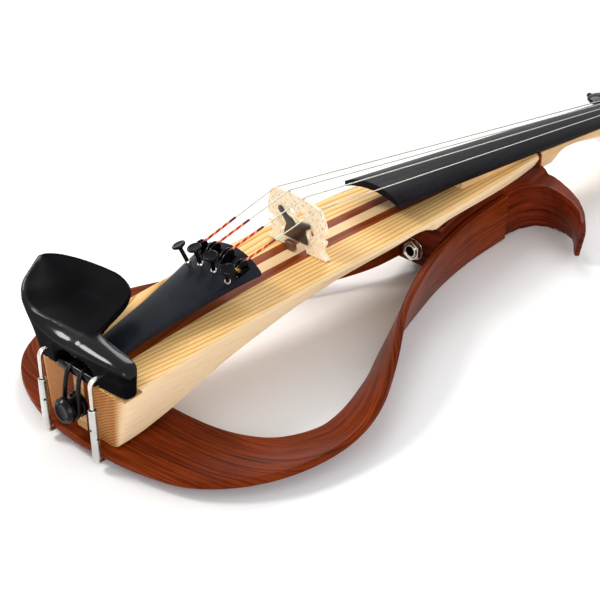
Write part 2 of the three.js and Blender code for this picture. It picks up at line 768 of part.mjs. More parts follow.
// String windings: each one unbroken helix of wire round its peg
const windingTurns = 4;
const windingStepsPerTurn = 10;
const windingSides = 5;
const windingGap = 0.45;

function windingRadius(peg) {
  const height = pegBoxHalfAt(pegX(peg)) + pegTipStandOut + peg.side * peg.windY;
  return pegShankRadius(peg, height) + seatGap + peg.wire;
}

function windingPoint(peg, turn) {
  const pitch = 2 * peg.wire + windingGap;
  const angle = turn * 2 * Math.PI;
  return new THREE.Vector3(
    pegX(peg) + windingRadius(peg) * Math.sin(angle),
    peg.windY + peg.side * (turn - windingTurns / 2) * pitch,
    pegZ(peg) + windingRadius(peg) * Math.cos(angle),
  );
}

function windingSolid(peg) {
  const count = windingTurns * windingStepsPerTurn;
  const rings = [];
  for (let step = 0; step <= count; step += 1) {
    const centre = windingPoint(peg, step / windingStepsPerTurn);
    const outward = new THREE.Vector3(centre.x - pegX(peg), 0, centre.z - pegZ(peg)).normalize();
    const ring = [];
    for (let side = 0; side < windingSides; side += 1) {
      const angle = (side / windingSides) * 2 * Math.PI;
      ring.push(centre.clone()
        .addScaledVector(outward, peg.wire * Math.cos(angle))
        .add(new THREE.Vector3(0, peg.wire * Math.sin(angle), 0)));
    }
    rings.push(ring);
  }
  return loft(rings);
}

// The least clear distance between one turn of a winding and the next, measured on points
function windingLeastGap(peg) {
  let least = Infinity;
  const count = windingTurns * windingStepsPerTurn;
  for (let one = 0; one <= count; one += 1) {
    for (let other = one + windingStepsPerTurn / 2; other <= count; other += 1) {
      const from = windingPoint(peg, one / windingStepsPerTurn);
      const distance = from.distanceTo(windingPoint(peg, other / windingStepsPerTurn));
      least = Math.min(least, distance - 2 * peg.wire);
    }
  }
  return least;
}

// Nut: a low ridge that spaces the strings above the end of the fingerboard
const nutHeight = 1;
const nutBackFall = 3;
const nutStringSpacing = 5.5;
const nutSteps = 6;

function nutTop(y) {
  return fingerboardCrown(nutPlace) - archSag(y, fingerboardArch) + nutHeight;
}

function nutSolid() {
  const low = headTop(headStart) + pegBoxFall * nutThickness + seatGap;
  return loft([0, 1].map((share) => {
    const x = THREE.MathUtils.lerp(nutPlace, headStart - seatGap, share);
    const half = fingerboardNutHalf;
    const ring = [new THREE.Vector3(x, -half, low), new THREE.Vector3(x, half, low)];
    for (let step = 0; step <= nutSteps; step += 1) {
      const y = half * (1 - (2 * step) / nutSteps);
      ring.push(new THREE.Vector3(x, y, nutTop(y) - share * nutBackFall));
    }
    return ring;
  }));
}

function neckWithHead() {
  const cavity = loft([0.05, 0.9].map((share) => {
    const x = headStart + share * pegBoxLength;
    const half = pegBoxHalfAt(x) - pegBoxWall;
    const depth = THREE.MathUtils.lerp(pegBoxDepth, pegBoxEndDepth, share) - pegBoxFloor;
    return [
      new THREE.Vector3(x, half, headTop(x) + cutOverrun),
      new THREE.Vector3(x, half, headTop(x) - depth),
      new THREE.Vector3(x, -half, headTop(x) - depth),
      new THREE.Vector3(x, -half, headTop(x) + cutOverrun),
    ];
  }));
  const whole = join(neckSolid(), scrollSolid());
  return cut(whole, cavity, ...pegs.map((peg) => pegSolid(peg, seatGap)));
}

// Bridge: a thin maple arch on two feet, flat towards the tail and thinner towards its top
const bridgeHalfWidth = 20.6;
const bridgeHeight = 35.2;
const bridgeTrebleDrop = 2.6;
const bridgeFootThickness = 4.6;
const bridgeTopThickness = 1.7;
const bridgeStringSpacing = 11.3;
const bridgeOutlineShares = [
  [0.36, 0.008], [1, 0.008], [0.985, 0.06], [0.86, 0.115], [0.865, 0.2], [0.94, 0.3], [0.945, 0.36],
  [0.8, 0.375], [0.8, 0.43], [0.96, 0.47], [0.995, 0.58], [0.96, 0.72], [0.9, 0.82], [0.86, 0.91],
  [0.62, 0.965], [0.3, 0.995], [0, 1],
];
const bridgeLegArchShares = [[0.34, 0.05], [0.28, 0.11], [0.16, 0.15], [0, 0.165]];
const kidneyShares = [
  [0.38, 0.34], [0.46, 0.28], [0.56, 0.29], [0.62, 0.36], [0.6, 0.44], [0.52, 0.48], [0.42, 0.44],
];
const heartShares = [
  [0, 0.5], [0.12, 0.58], [0.26, 0.6], [0.31, 0.68], [0.24, 0.74], [0.13, 0.71], [0.05, 0.64], [0, 0.63],
];

function bridgePoint([across, up]) {
  const y = across * bridgeHalfWidth;
  const tilt = (bridgeTrebleDrop * up * (y / bridgeHalfWidth - 1)) / 2;
  return new THREE.Vector2(y, up * bridgeHeight + tilt);
}

function mirrored(points) {
  return points.map(([across, up]) => [-across, up]).reverse();
}

function bridgeSolid() {
  const arch = bridgeLegArchShares;
  const outline = [
    ...bridgeOutlineShares, ...mirrored(bridgeOutlineShares).slice(1),
    ...mirrored(arch).reverse(), ...[...arch].reverse().slice(1),
  ];
  const shape = new THREE.Shape(outline.map(bridgePoint));
  shape.holes.push(new THREE.Path(kidneyShares.map(bridgePoint)));
  shape.holes.push(new THREE.Path(mirrored(kidneyShares).map(bridgePoint)));
  const heart = [...heartShares, ...mirrored(heartShares).slice(1, -1)];
  shape.holes.push(new THREE.Path(heart.map(bridgePoint)));
  const geometry = new THREE.ExtrudeGeometry(shape, { depth: 1, bevelEnabled: false });
  const places = geometry.attributes.position;
  for (let index = 0; index < places.count; index += 1) {
    const y = places.getX(index);
    const z = places.getY(index);
    const share = THREE.MathUtils.clamp(z / bridgeHeight, 0, 1);
    const thickness = THREE.MathUtils.lerp(bridgeFootThickness, bridgeTopThickness, share);
    const x = places.getZ(index) * thickness - bridgeFootThickness / 2;
    places.setXYZ(index, x, y, z + bodyTop(0));
  }
  return geometry;
}

function bridgeTop(y) {
  const share = Math.abs(y) / bridgeHalfWidth;
  const top = bridgeOutlineShares.slice(-4).map(([across, up]) => [across, up]).reverse();
  const height = readShares(top, share) * bridgeHeight;
  return height + (bridgeTrebleDrop * (height / bridgeHeight) * (y / bridgeHalfWidth - 1)) / 2;
}

// Pickup: a dark plate on the bridge's tail side, with a small connector block below it
const pickupThickness = 1.2;
const pickupPlateShares = [
  [0.34, 0.2], [0.33, 0.3], [0.27, 0.4], [0.3, 0.47], [0.42, 0.53], [0.4, 0.6], [0.28, 0.585], [0.12, 0.56],
  [0, 0.475], [-0.12, 0.56], [-0.28, 0.6], [-0.42, 0.7], [-0.49, 0.7], [-0.5, 0.63], [-0.36, 0.53],
  [-0.27, 0.44], [-0.33, 0.3], [-0.34, 0.2],
];
const connectorHalfWidth = 3.4;
const connectorHeight = 5;
const connectorDepth = 3.4;
const connectorY = 2.4;

function pickupSolid() {
  const shape = new THREE.Shape(pickupPlateShares.map(([y, z]) => bridgePoint([-y, z])));
  const geometry = new THREE.ExtrudeGeometry(shape, { depth: pickupThickness, bevelEnabled: false });
  geometry.applyMatrix4(new THREE.Matrix4().set(0, 0, 1, 0, 1, 0, 0, 0, 0, 1, 0, 0, 0, 0, 0, 1));
  return geometry.translate(-bridgeFootThickness / 2 - seatGap - pickupThickness, 0, bodyTop(0));
}

function connectorSolid() {
  const box = new THREE.BoxGeometry(connectorDepth, 2 * connectorHalfWidth, connectorHeight);
  const x = -bridgeFootThickness / 2 - seatGap - connectorDepth / 2;
  return box.translate(x, connectorY, seatGap + connectorHeight / 2);
}

// Tailpiece: a moulded arch, narrow at the tail and wide at the bridge, with four fine tuners
const tailpieceLength = 99;
const tailpieceSetback = 8.2;
const tailpieceNarrowX = tailpieceSetback - tailLength;
const tailpieceWideX = tailpieceNarrowX + tailpieceLength;
const tailpieceWideHalf = 22.4;
const tailpieceArch = 42;
const tailpieceEdge = 2.6;
const tailpieceNarrowDepth = 5;
const tailpieceHollow = 3.2;
const tailpieceBow = 1.6;
const tailpieceEndHeight = 21;
const tailpieceNarrowHeight = 6.4;
const tailpieceSteps = 8;
const tailpieceStationShares = [0, 0.03, 0.09, 0.2, 0.34, 0.5, 0.66, 0.8, 0.9, 0.97, 1];
const tailpieceWidthShares = [
  [0, 0.3], [0.03, 0.37], [0.09, 0.405], [0.34, 0.425], [0.5, 0.47], [0.66, 0.57], [0.8, 0.72], [0.9, 0.86], [1, 1],
];
const tailpieceHeightShares = [[0, 0], [0.1, 0.05], [0.34, 0.12], [0.5, 0.22], [0.66, 0.4], [0.83, 0.7], [1, 1]];

function tailpieceShare(x) {
  return (x - tailpieceNarrowX) / (tailpieceWideX - tailpieceNarrowX);
}

function tailpieceTop(x, y) {
  const rise = readShares(tailpieceHeightShares, tailpieceShare(x));
  const crown = THREE.MathUtils.lerp(tailpieceNarrowHeight, tailpieceEndHeight, rise);
  return crown - archSag(y, tailpieceArch);
}

function tailpieceHalf(x) {
  return tailpieceWideHalf * readShares(tailpieceWidthShares, tailpieceShare(x));
}

function tailpieceSolid() {
  return loft(tailpieceStationShares.map((share) => {
    const x = THREE.MathUtils.lerp(tailpieceNarrowX, tailpieceWideX, share);
    const half = tailpieceHalf(x);
    const bow = share === 1 ? tailpieceBow : 0;
    const edge = THREE.MathUtils.lerp(tailpieceNarrowDepth, tailpieceEdge, Math.min(share * 1.4, 1));
    const hollow = tailpieceHollow * THREE.MathUtils.lerp(0.08, 1, THREE.MathUtils.smoothstep(share, 0.5, 1));
    const ring = [];
    for (let step = 0; step <= tailpieceSteps; step += 1) {
      const across = 1 - (2 * step) / tailpieceSteps;
      const place = x + bow * (1 - across * across);
      ring.push(new THREE.Vector3(place, half * across, tailpieceTop(x, half * across)));
    }
    for (let step = 0; step <= tailpieceSteps; step += 1) {
      const across = (2 * step) / tailpieceSteps - 1;
      const place = x + bow * (1 - across * across);
      const lift = hollow * (1 - across * across);
      ring.push(new THREE.Vector3(place, half * across, tailpieceTop(x, half) - edge + lift));
    }
    return ring;
  }));
}

// Fine tuners: a screw pushes down the tail of a forked lever that holds the string
const tunerSpacing = 10.4;
const tunerScrewSetback = 18;
const tunerLeverSetback = 7.5;
const tunerScrewX = tailpieceWideX - tunerScrewSetback;
const tunerLeverX = tailpieceWideX - tunerLeverSetback;
const tunerStemRadius = 1.5;
const tunerStemStandOut = 8.2;
const tunerHeadRadius = 4.6;
const tunerHeadThickness = 2.7;
const tunerHoleClearance = 0.45;
const leverWidth = 3.2;
const leverSlotClearance = 0.5;
const leverPivotDrop = 0.6;
const leverTailLength = 12.5;
const leverTailDrop = 8.8;
const leverTailThickness = 1.8;
const leverProngHeight = 6.6;
const leverForkDepth = 3.4;
const leverForkWidth = 1.6;
const leverSlotLength = 9;
const leverOutlineShares = [
  [-1, -1], [0.02, -1], [0.2, -0.5], [0.24, 0.2], [0.26, 0.8], [0.16, 1], [-0.02, 1.02], [-0.12, 0.86],
  [-0.1, 0.3], [-0.14, -0.3], [-0.3, -0.72], [-1, -0.76],
];
const tuners = [
  { string: 'g', slot: 1.5 }, { string: 'd', slot: 0.5 }, { string: 'a', slot: -0.5 }, { string: 'e', slot: -1.5 },
];

function tunerY(tuner) {
  return tuner.slot * tunerSpacing;
}

// The screw stands square to the arched top, so its axis leans back and outward
function tunerAxis(tuner) {
  const y = tunerY(tuner);
  const run = tunerStemRadius;
  const slope = (tailpieceTop(tunerScrewX + run, y) - tailpieceTop(tunerScrewX - run, y)) / (2 * run);
  return new THREE.Vector3(-slope, y / tailpieceArch, 1).normalize();
}

function tunerSeat(tuner) {
  const y = tunerY(tuner);
  return new THREE.Vector3(tunerScrewX, y, tailpieceTop(tunerScrewX, y));
}

function leverPivot(tuner) {
  const y = tunerY(tuner);
  return new THREE.Vector3(tunerLeverX, y, tailpieceTop(tunerLeverX, y) - leverPivotDrop);
}

function alongAxis(tuner, distance) {
  return tunerSeat(tuner).addScaledVector(tunerAxis(tuner), distance);
}

// The stem ends just above the lever's tail
function tunerStemLength(tuner) {
  const tailTop = leverPivot(tuner).z - 0.76 * leverTailDrop;
  return (tunerSeat(tuner).z - tailTop - seatGap) / tunerAxis(tuner).z - 2 * seatGap;
}

function tunerStem(tuner) {
  const low = alongAxis(tuner, -tunerStemLength(tuner));
  return bar(low, alongAxis(tuner, tunerStemStandOut), tunerStemRadius, 8);
}

function tunerHead(tuner) {
  const low = tunerStemStandOut + seatGap;
  const rim = 0.25 * tunerHeadThickness;
  const profile = [
    [0, 0], [0.45 * tunerHeadRadius, 0], [tunerHeadRadius, rim],
    [tunerHeadRadius, tunerHeadThickness - rim], [0.85 * tunerHeadRadius, tunerHeadThickness],
    [0, 0.8 * tunerHeadThickness],
  ].map(([radius, height]) => new THREE.Vector2(radius, height));
  const geometry = new THREE.LatheGeometry(profile, 14);
  const turn = new THREE.Quaternion().setFromUnitVectors(new THREE.Vector3(0, 1, 0), tunerAxis(tuner));
  geometry.applyQuaternion(turn);
  const place = alongAxis(tuner, low);
  return geometry.translate(place.x, place.y, place.z);
}

function leverSolid(tuner) {
  const points = leverOutlineShares.map(([along, up]) => {
    const height = up > 0 ? up * leverProngHeight : up * leverTailDrop;
    return new THREE.Vector2(along * leverTailLength, height);
  });
  const blade = new THREE.ExtrudeGeometry(new THREE.Shape(points), {
    depth: leverWidth,
    bevelEnabled: false,
  }).translate(0, 0, -leverWidth / 2).rotateX(Math.PI / 2);
  const fork = new THREE.BoxGeometry(leverTailLength, leverForkWidth, leverForkDepth + cutOverrun);
  fork.translate(0, 0, leverProngHeight + (cutOverrun - leverForkDepth) / 2);
  const pivot = leverPivot(tuner);
  return cut(blade, fork).translate(pivot.x, pivot.y, pivot.z);
}

function tailpieceWithSlots() {
  const tools = tuners.flatMap((tuner) => {
    const pivot = leverPivot(tuner);
    const slot = new THREE.BoxGeometry(
      leverSlotLength,
      leverWidth + 2 * leverSlotClearance,
      2 * (tailpieceEdge + tailpieceHollow + cutOverrun),
    ).translate(pivot.x, pivot.y, pivot.z);
    const hole = bar(
      alongAxis(tuner, -tunerStemLength(tuner) - cutOverrun),
      alongAxis(tuner, cutOverrun),
      tunerStemRadius + tunerHoleClearance,
      8,
    );
    return [slot, hole];
  });
  return cut(tailpieceSolid(), ...tools);
}

// Strings: taut from the lever's fork over the bridge and the nut to the top of their winding
const stringSides = 6;

function stringPoints(tuner) {
  const peg = pegs.find((each) => each.string === tuner.string);
  const radius = peg.wire;
  const lever = leverPivot(tuner);
  const bridgeY = tuner.slot * bridgeStringSpacing;
  const nutY = tuner.slot * nutStringSpacing;
  const bridgeX = (bridgeTopThickness - bridgeFootThickness) / 2;
  const over = windingRadius(peg) + 2 * radius + seatGap;
  return [
    new THREE.Vector3(lever.x, lever.y, lever.z + leverProngHeight - leverForkDepth / 2),
    new THREE.Vector3(bridgeX, bridgeY, bridgeTop(bridgeY) + seatGap + radius),
    new THREE.Vector3(nutPlace, nutY, nutTop(nutY) + 1.2 * (seatGap + radius)),
    new THREE.Vector3(pegX(peg), peg.windY, pegZ(peg) + over),
  ];
}

function stringSolid(tuner) {
  const points = stringPoints(tuner);
  const { wire } = pegs.find((each) => each.string === tuner.string);
  const rings = points.map((point, index) => {
    const before = points[Math.max(index - 1, 0)];
    const after = points[Math.min(index + 1, points.length - 1)];
    const along = new THREE.Vector3().subVectors(after, before).normalize();
    const sideways = new THREE.Vector3(0, 1, 0).addScaledVector(along, -along.y).normalize();
    const up = new THREE.Vector3().crossVectors(along, sideways);
    const ring = [];
    for (let side = 0; side < stringSides; side += 1) {
      const angle = (side / stringSides) * 2 * Math.PI;
      ring.push(point.clone()
        .addScaledVector(sideways, wire * Math.cos(angle))
        .addScaledVector(up, wire * Math.sin(angle)));
    }
    return ring;
  });
  return loft(rings);
}

// Saddle, tailgut and end button at the tail
const saddleHalfWidth = 14.6;
const saddleHeight = 4.8;
const saddleDepth = 7;
const saddleStandOut = 1.4;
const saddleRound = 1.8;
const gutRadius = 1.2;
const gutHalfSpacing = 4.6;
const buttonDrop = 14;
const buttonShankRadius = 4;
const buttonShankLength = 22;
const buttonNeckRadius = 4.6;
const buttonNeckLength = 6;
const buttonHeadRadius = 7.2;
const buttonHeadLength = 5.4;
const buttonFlangeRadius = 6.8;
const buttonFlangeLength = 2.6;
const buttonHoleRadius = buttonShankRadius + seatGap;
const tailFace = -tailLength;
const buttonZ = -tailFall - buttonDrop;

function saddleSolid() {
  const low = bodyTop(tailFace) + seatGap;
  const back = tailFace - saddleStandOut;
  const front = tailFace + saddleDepth;
  const lift = bodyTop(front) - bodyTop(tailFace);
  const shape = new THREE.Shape([
    [back, low], [back, low + saddleHeight - saddleRound], [back + 0.35 * saddleRound, low + saddleHeight - 0.35 * saddleRound],
    [back + saddleRound, low + saddleHeight], [front - saddleRound, low + saddleHeight],
    [front, low + saddleHeight - saddleRound], [front, low + lift],
  ].map(([x, z]) => new THREE.Vector2(x, z)));
  const depth = 2 * saddleHalfWidth;
  return new THREE.ExtrudeGeometry(shape, { depth, bevelEnabled: false })
    .translate(0, 0, -saddleHalfWidth).rotateX(Math.PI / 2);
}

// A round profile turned about an axis that points towards the tail
function turnedTowardsTail(profile, sides, x, y, z) {
  const points = profile.map(([radius, out]) => new THREE.Vector2(radius, out));
  return new THREE.LatheGeometry(points, sides).rotateZ(Math.PI / 2).translate(x, y, z);
}

function endButtonSolid() {
  const neckStartOut = buttonFlangeLength;
  const headStartOut = neckStartOut + buttonNeckLength;
  const headEnd = headStartOut + buttonHeadLength;
  const chamfer = 0.25 * buttonHeadLength;
  return turnedTowardsTail([
    [0, -buttonShankLength], [0.8 * buttonShankRadius, -buttonShankLength], [buttonShankRadius, -seatGap],
    [buttonShankRadius, seatGap], [buttonFlangeRadius, seatGap], [buttonFlangeRadius, 0.8 * neckStartOut],
    [buttonNeckRadius, neckStartOut], [buttonNeckRadius, headStartOut],
    [buttonHeadRadius, headStartOut + chamfer], [buttonHeadRadius, headEnd - chamfer],
    [0.7 * buttonHeadRadius, headEnd], [0, headEnd],
  ], 16, tailFace, 0, buttonZ);
}

function endButtonHole() {
  return turnedTowardsTail([
    [0, -buttonShankLength - cutOverrun], [buttonHoleRadius, -buttonShankLength - cutOverrun],
    [buttonHoleRadius, cutOverrun], [0, cutOverrun],
  ], 16, tailFace, 0, buttonZ);
}

// The tailgut leaves the tailpiece, crosses the saddle and goes round the button's neck
function tailgutSolid() {
  const over = bodyTop(tailFace) + saddleHeight + 2 * seatGap + gutRadius;
  const back = tailFace - saddleStandOut - seatGap - gutRadius;
  const neckX = tailFace - buttonFlangeLength - buttonNeckLength / 2;
  const wrap = buttonNeckRadius + seatGap + gutRadius;
  const start = tailpieceTop(tailpieceNarrowX, gutHalfSpacing) - tailpieceNarrowDepth / 2;
  const half = [
    new THREE.Vector3(tailpieceNarrowX - seatGap, gutHalfSpacing, start),
    new THREE.Vector3(tailpieceNarrowX - 3 * gutRadius, gutHalfSpacing, start),
    new THREE.Vector3(back, gutHalfSpacing, over),
    new THREE.Vector3(back, gutHalfSpacing, over - saddleHeight),
    new THREE.Vector3(neckX, wrap, buttonZ),
    new THREE.Vector3(neckX, wrap, buttonZ - wrap),
  ];
  const other = half.map((point) => new THREE.Vector3(point.x, -point.y, point.z)).reverse();
  return cord(roundedPath([...half, ...other], wrap, 4), gutRadius, 8);
}

// Chin rest: one ebony plate, a cup over the bass side with an arm across the tailpiece.
// Each row is a section from the arm's end to the cup's tip: place across, tail edge, front
// edge, top height and underside height, as shares of the plate's width, depth and height.
const chinRestTreble = 38.5;
const chinRestBass = 68;
const chinRestOverhang = 7.5;
const chinRestDepth = 53;
const chinRestRise = 30;
const chinRestRimRound = 2.2;
const chinRestWallInset = 7;
const chinRestShares = [
  [0, 0.14, 0.3, 0.46, 0.14],
  [0.014, 0.1, 0.345, 0.56, 0.05],
  [0.06, 0.082, 0.375, 0.655, 0],
  [0.13, 0.08, 0.395, 0.695, 0],
  [0.22, 0.075, 0.42, 0.735, 0],
  [0.3, 0.055, 0.48, 0.785, 0],
  [0.36, 0.03, 0.63, 0.84, 0],
  [0.44, 0.015, 0.86, 0.91, 0],
  [0.55, 0, 0.975, 0.965, 0],
  [0.67, 0, 1, 0.99, 0],
  [0.78, 0.11, 0.975, 1, 0.04],
  [0.86, 0.27, 0.92, 1, 0.16],
  [0.93, 0.46, 0.84, 1, 0.36],
  [0.98, 0.64, 0.76, 0.98, 0.62],
  [1, 0.7, 0.73, 0.96, 0.8],
];
const corkThickness = 1.2;
const cupCentreShares = [0.5, 0.66, 1.28];
const cupReachShares = [0.46, 0.335, 0.57];
const restArchShares = [
  [-1.5, -1], [-1.4, 0.2], [-1.12, 0.62], [-0.7, 1], [0.7, 1], [1.04, 0.75], [1.25, 0.42], [1.25, -1],
];
const restArchHalfWidth = 12;
const restArchHeight = 18.5;
const chinRestBottom = bodyTop(tailFace) + 2 * seatGap + corkThickness;
const chinRestTail = tailFace - chinRestOverhang;
const chinRestWidth = chinRestTreble + chinRestBass;

function chinRestRing([across, tail, front, top, bottom]) {
  const y = across * chinRestWidth - chinRestTreble;
  const back = chinRestTail + tail * chinRestDepth;
  const nose = chinRestTail + front * chinRestDepth;
  const high = chinRestBottom + top * chinRestRise;
  const low = chinRestBottom + bottom * chinRestRise;
  const middle = (high + low) / 2;
  const inset = Math.min(chinRestWallInset, (nose - back) / 4);
  const round = Math.min(chinRestRimRound, (high - low) / 4, (nose - back) / 4);
  const lift = bodyTop(Math.max(nose - inset, tailFace)) - bodyTop(tailFace);
  return [
    [back + round, high], [back, high - round], [back + 0.4 * inset, middle], [back + inset, low + round],
    [back + inset + round, low + lift / 5], [nose - inset - round, low + lift],
    [nose - inset, low + lift + round], [nose - 0.4 * inset, middle + lift / 2], [nose, high - round], [nose - round, high],
  ].map(([x, z]) => new THREE.Vector3(x, y, z));
}

const studRadius = 1.3;
const studHoleDepth = 6;
const studHeight = 1.2;
const studInBarrel = 6;
const barrelRadius = 2.3;
const barrelWall = 0.7;
const barrelTopDrop = 16.5;
const clampSpacing = 40.2;
const clampMiddleY = -1.8;
const clampStandOff = 1.5;
const footReach = 14;
const elbowRadius = 2.7;
const elbowLength = 2.8;
const clampX = bandStart - clampStandOff;
const bandUnderside = bandLevel - bandThickness / 2;
const footZ = bandUnderside - seatGap - studRadius;
const barrelTop = studHeight - barrelTopDrop;
const footBend = 2 * studRadius;
const barrelBottom = footZ + footBend + seatGap;
const clamps = [
  { name: 'bass', y: clampMiddleY + clampSpacing / 2 },
  { name: 'treble', y: clampMiddleY - clampSpacing / 2 },
];
const studEnterX = tailFace;

function studSolid(clamp, clearance) {
  return cord(roundedPath([
    new THREE.Vector3(studEnterX + studHoleDepth, clamp.y, studHeight),
    new THREE.Vector3(clampX, clamp.y, studHeight),
    new THREE.Vector3(clampX, clamp.y, barrelTop - studInBarrel),
  ], 3 * studRadius, 4), studRadius + clearance, 8);
}

function barrelSolid(clamp) {
  const inner = barrelRadius - barrelWall;
  const outline = [
    [inner, barrelBottom], [barrelRadius, barrelBottom], [barrelRadius, barrelTop],
    [inner, barrelTop], [inner, barrelBottom],
  ].map(([radius, z]) => new THREE.Vector2(radius, z));
  return new THREE.LatheGeometry(outline, 14).rotateX(Math.PI / 2).translate(clampX, clamp.y, 0);
}

function footSolid(clamp) {
  const rod = cord(roundedPath([
    new THREE.Vector3(clampX, clamp.y, barrelBottom + studInBarrel),
    new THREE.Vector3(clampX, clamp.y, footZ),
    new THREE.Vector3(clampX + footReach, clamp.y, footZ),
  ], footBend, 4), studRadius, 8);
  const front = bandStart - seatGap;
  const elbow = bar(
    new THREE.Vector3(front - elbowLength, clamp.y, footZ),
    new THREE.Vector3(front, clamp.y, footZ),
    elbowRadius,
    12,
  );
  return join(rod, elbow);
}

function chinRestSolid() {
  const dish = new THREE.SphereGeometry(1, 28, 16);
  dish.scale(
    cupReachShares[0] * chinRestDepth,
    cupReachShares[1] * chinRestWidth,
    cupReachShares[2] * chinRestRise,
  ).translate(
    chinRestTail + cupCentreShares[0] * chinRestDepth,
    cupCentreShares[1] * chinRestWidth - chinRestTreble,
    chinRestBottom + cupCentreShares[2] * chinRestRise,
  );
  const arch = new THREE.ExtrudeGeometry(new THREE.Shape(restArchShares.map(([across, up]) => (
    new THREE.Vector2(across * restArchHalfWidth, chinRestBottom + up * restArchHeight)
  ))), { depth: chinRestDepth + 2 * cutOverrun, bevelEnabled: false });
  arch.applyMatrix4(new THREE.Matrix4().set(0, 0, 1, 0, 1, 0, 0, 0, 0, 1, 0, 0, 0, 0, 0, 1));
  arch.translate(chinRestTail - cutOverrun, 0, 0);
  const holes = clamps.map((clamp) => studSolid(clamp, seatGap));
  return cut(loft(chinRestShares.map(chinRestRing)), dish, arch, ...holes);
}

// Cork pads between the body and the chin rest
const corkLength = 11;
const corkBassShares = [0.5, 0.655];
const corkTrebleShares = [0.015, 0.165];

function corkSolid([from, to]) {
  const low = chinRestBottom - seatGap - corkThickness;
  const yFrom = from * chinRestWidth - chinRestTreble;
  const yTo = to * chinRestWidth - chinRestTreble;
  const x = tailFace + seatGap;
  const lift = bodyTop(x + corkLength) - bodyTop(x);
  return loft([yFrom, yTo].map((y) => [
    new THREE.Vector3(x, y, low),
    new THREE.Vector3(x + corkLength, y, low + lift),
    new THREE.Vector3(x + corkLength, y, low + corkThickness + seatGap / 2),
    new THREE.Vector3(x, y, low + corkThickness),
  ]));
}

// Thin dark strip glued between the body's end and the neck's heel
function jointStripSolid() {
  const top = fingerboardUnderside(stopLength) - seatGap;
  const depth = heelDepth - (fingerboardCrown(stopLength) - top);
  const from = stopLength + seatGap;
  return loft([from, from + jointStripThickness].map((x) => neckRing(x, neckHalf(x), top, depth)));
}

// Output jack: a threaded sleeve through the block's end wall, with its housing in a pocket
const jackY = -10.2;
const jackDrop = 12.3;
const jackSleeveRadius = 4.5;
const jackSocketRadius = 3.3;
const jackSleeveStandOut = 4.8;
const jackSleeveInHousing = 3.2;
const jackWallThickness = 3;
const jackBoreClearance = 0.35;
const jackWasherRadius = 7;
const jackWasherThickness = 1;
const jackNutRadius = 6.9;
const jackNutThickness = 2.5;
const jackHousingLength = 25;
const jackHousingHalfWidth = 7;
const jackHousingHalfHeight = 6.5;
const jackSocketDepth = 21;
const jackPocketClearance = 1;
const jackPocketLength = 28;
const jackLeadSpace = 5;
const jackZ = blockTop - jackDrop;
const pocketX = plateReach + jackWallThickness;

// A tube along X with the given outer and inner radius
function tubeAlongX(from, to, outer, inner, sides) {
  const outline = [[outer, from], [outer, to], [inner, to], [inner, from], [outer, from]];
  const points = outline.map(([radius, along]) => new THREE.Vector2(radius, along));
  return new THREE.LatheGeometry(points, sides).rotateZ(-Math.PI / 2).translate(0, jackY, jackZ);
}

function rodAlongX(from, to, radius, sides) {
  const start = new THREE.Vector3(from, jackY, jackZ);
  return bar(start, new THREE.Vector3(to, jackY, jackZ), radius, sides);
}

function boxBetween(low, high) {
  const size = new THREE.Vector3().subVectors(high, low);
  const middle = new THREE.Vector3().addVectors(low, high).divideScalar(2);
  return new THREE.BoxGeometry(size.x, size.y, size.z).translate(middle.x, middle.y, middle.z);
}

function jackSleeveSolid() {
  const from = plateReach - jackSleeveStandOut;
  return tubeAlongX(from, pocketX + jackSleeveInHousing, jackSleeveRadius, jackSocketRadius, 20);
}

function jackWasherSolid() {
  const to = plateReach - seatGap;
  const inner = jackSleeveRadius + seatGap;
  return tubeAlongX(to - jackWasherThickness, to, jackWasherRadius, inner, 20);
}

function jackNutSolid() {
  const to = plateReach - 2 * seatGap - jackWasherThickness;
  const hexagon = rodAlongX(to - jackNutThickness, to, jackNutRadius, 6);
  const bore = rodAlongX(to - jackNutThickness - 1, to + 1, jackSleeveRadius + seatGap, 20);
  return cut(hexagon, bore);
}

function jackHousingSolid() {
  const from = pocketX + seatGap;
  const housing = boxBetween(
    new THREE.Vector3(from, jackY - jackHousingHalfWidth, jackZ - jackHousingHalfHeight),
    new THREE.Vector3(from + jackHousingLength, jackY + jackHousingHalfWidth, jackZ + jackHousingHalfHeight),
  );
  const sleeveEnd = pocketX + jackSleeveInHousing + seatGap;
  const sleeveRoom = rodAlongX(from - 1, sleeveEnd, jackSleeveRadius + seatGap, 20);
  const socket = rodAlongX(from - 1, from + jackSocketDepth, jackSocketRadius, 16);
  return cut(housing, sleeveRoom, socket);
}

// The pocket is routed into the block from below, with the socket's bore through its end wall
function jackPocketSolid() {
  const around = jackHousingHalfWidth + jackPocketClearance;
  return boxBetween(
    new THREE.Vector3(pocketX, jackY - around, blockBottom - cutOverrun),
    new THREE.Vector3(pocketX + jackPocketLength, jackY + around + jackLeadSpace, jackZ + around),
  );
}

function jackBoreSolid() {
  const radius = jackSleeveRadius + jackBoreClearance;
  return rodAlongX(plateReach - cutOverrun, pocketX + cutOverrun, radius, 20);
}

// Lead from the bridge's pickup, through the middle layer's channel, to the jack's housing
const leadRadius = 1;
const leadRoom = 0.55;
const leadY = 1.7;
const leadLevel = -9.2;
const leadTurnX = 104;
const leadBend = 4;

function leadSolid(clearance) {
  const start = -bridgeFootThickness / 2 - seatGap - connectorDepth / 2;
  const side = jackY + jackHousingHalfWidth + seatGap;
  const turnX = leadTurnX + leadBend;
  return cord(roundedPath([
    new THREE.Vector3(start, leadY, bodyTop(0) + clearance),
    new THREE.Vector3(start, leadY, leadLevel),
    new THREE.Vector3(leadTurnX - leadBend, 0, leadLevel),
    new THREE.Vector3(turnX, 0, leadLevel - leadBend),
    new THREE.Vector3(turnX, 0, jackZ + leadBend),
    new THREE.Vector3(turnX, side + 2 * leadRadius, jackZ),
    new THREE.Vector3(turnX, side, jackZ),
  ], leadBend, 4), leadRadius + clearance, 8);
}

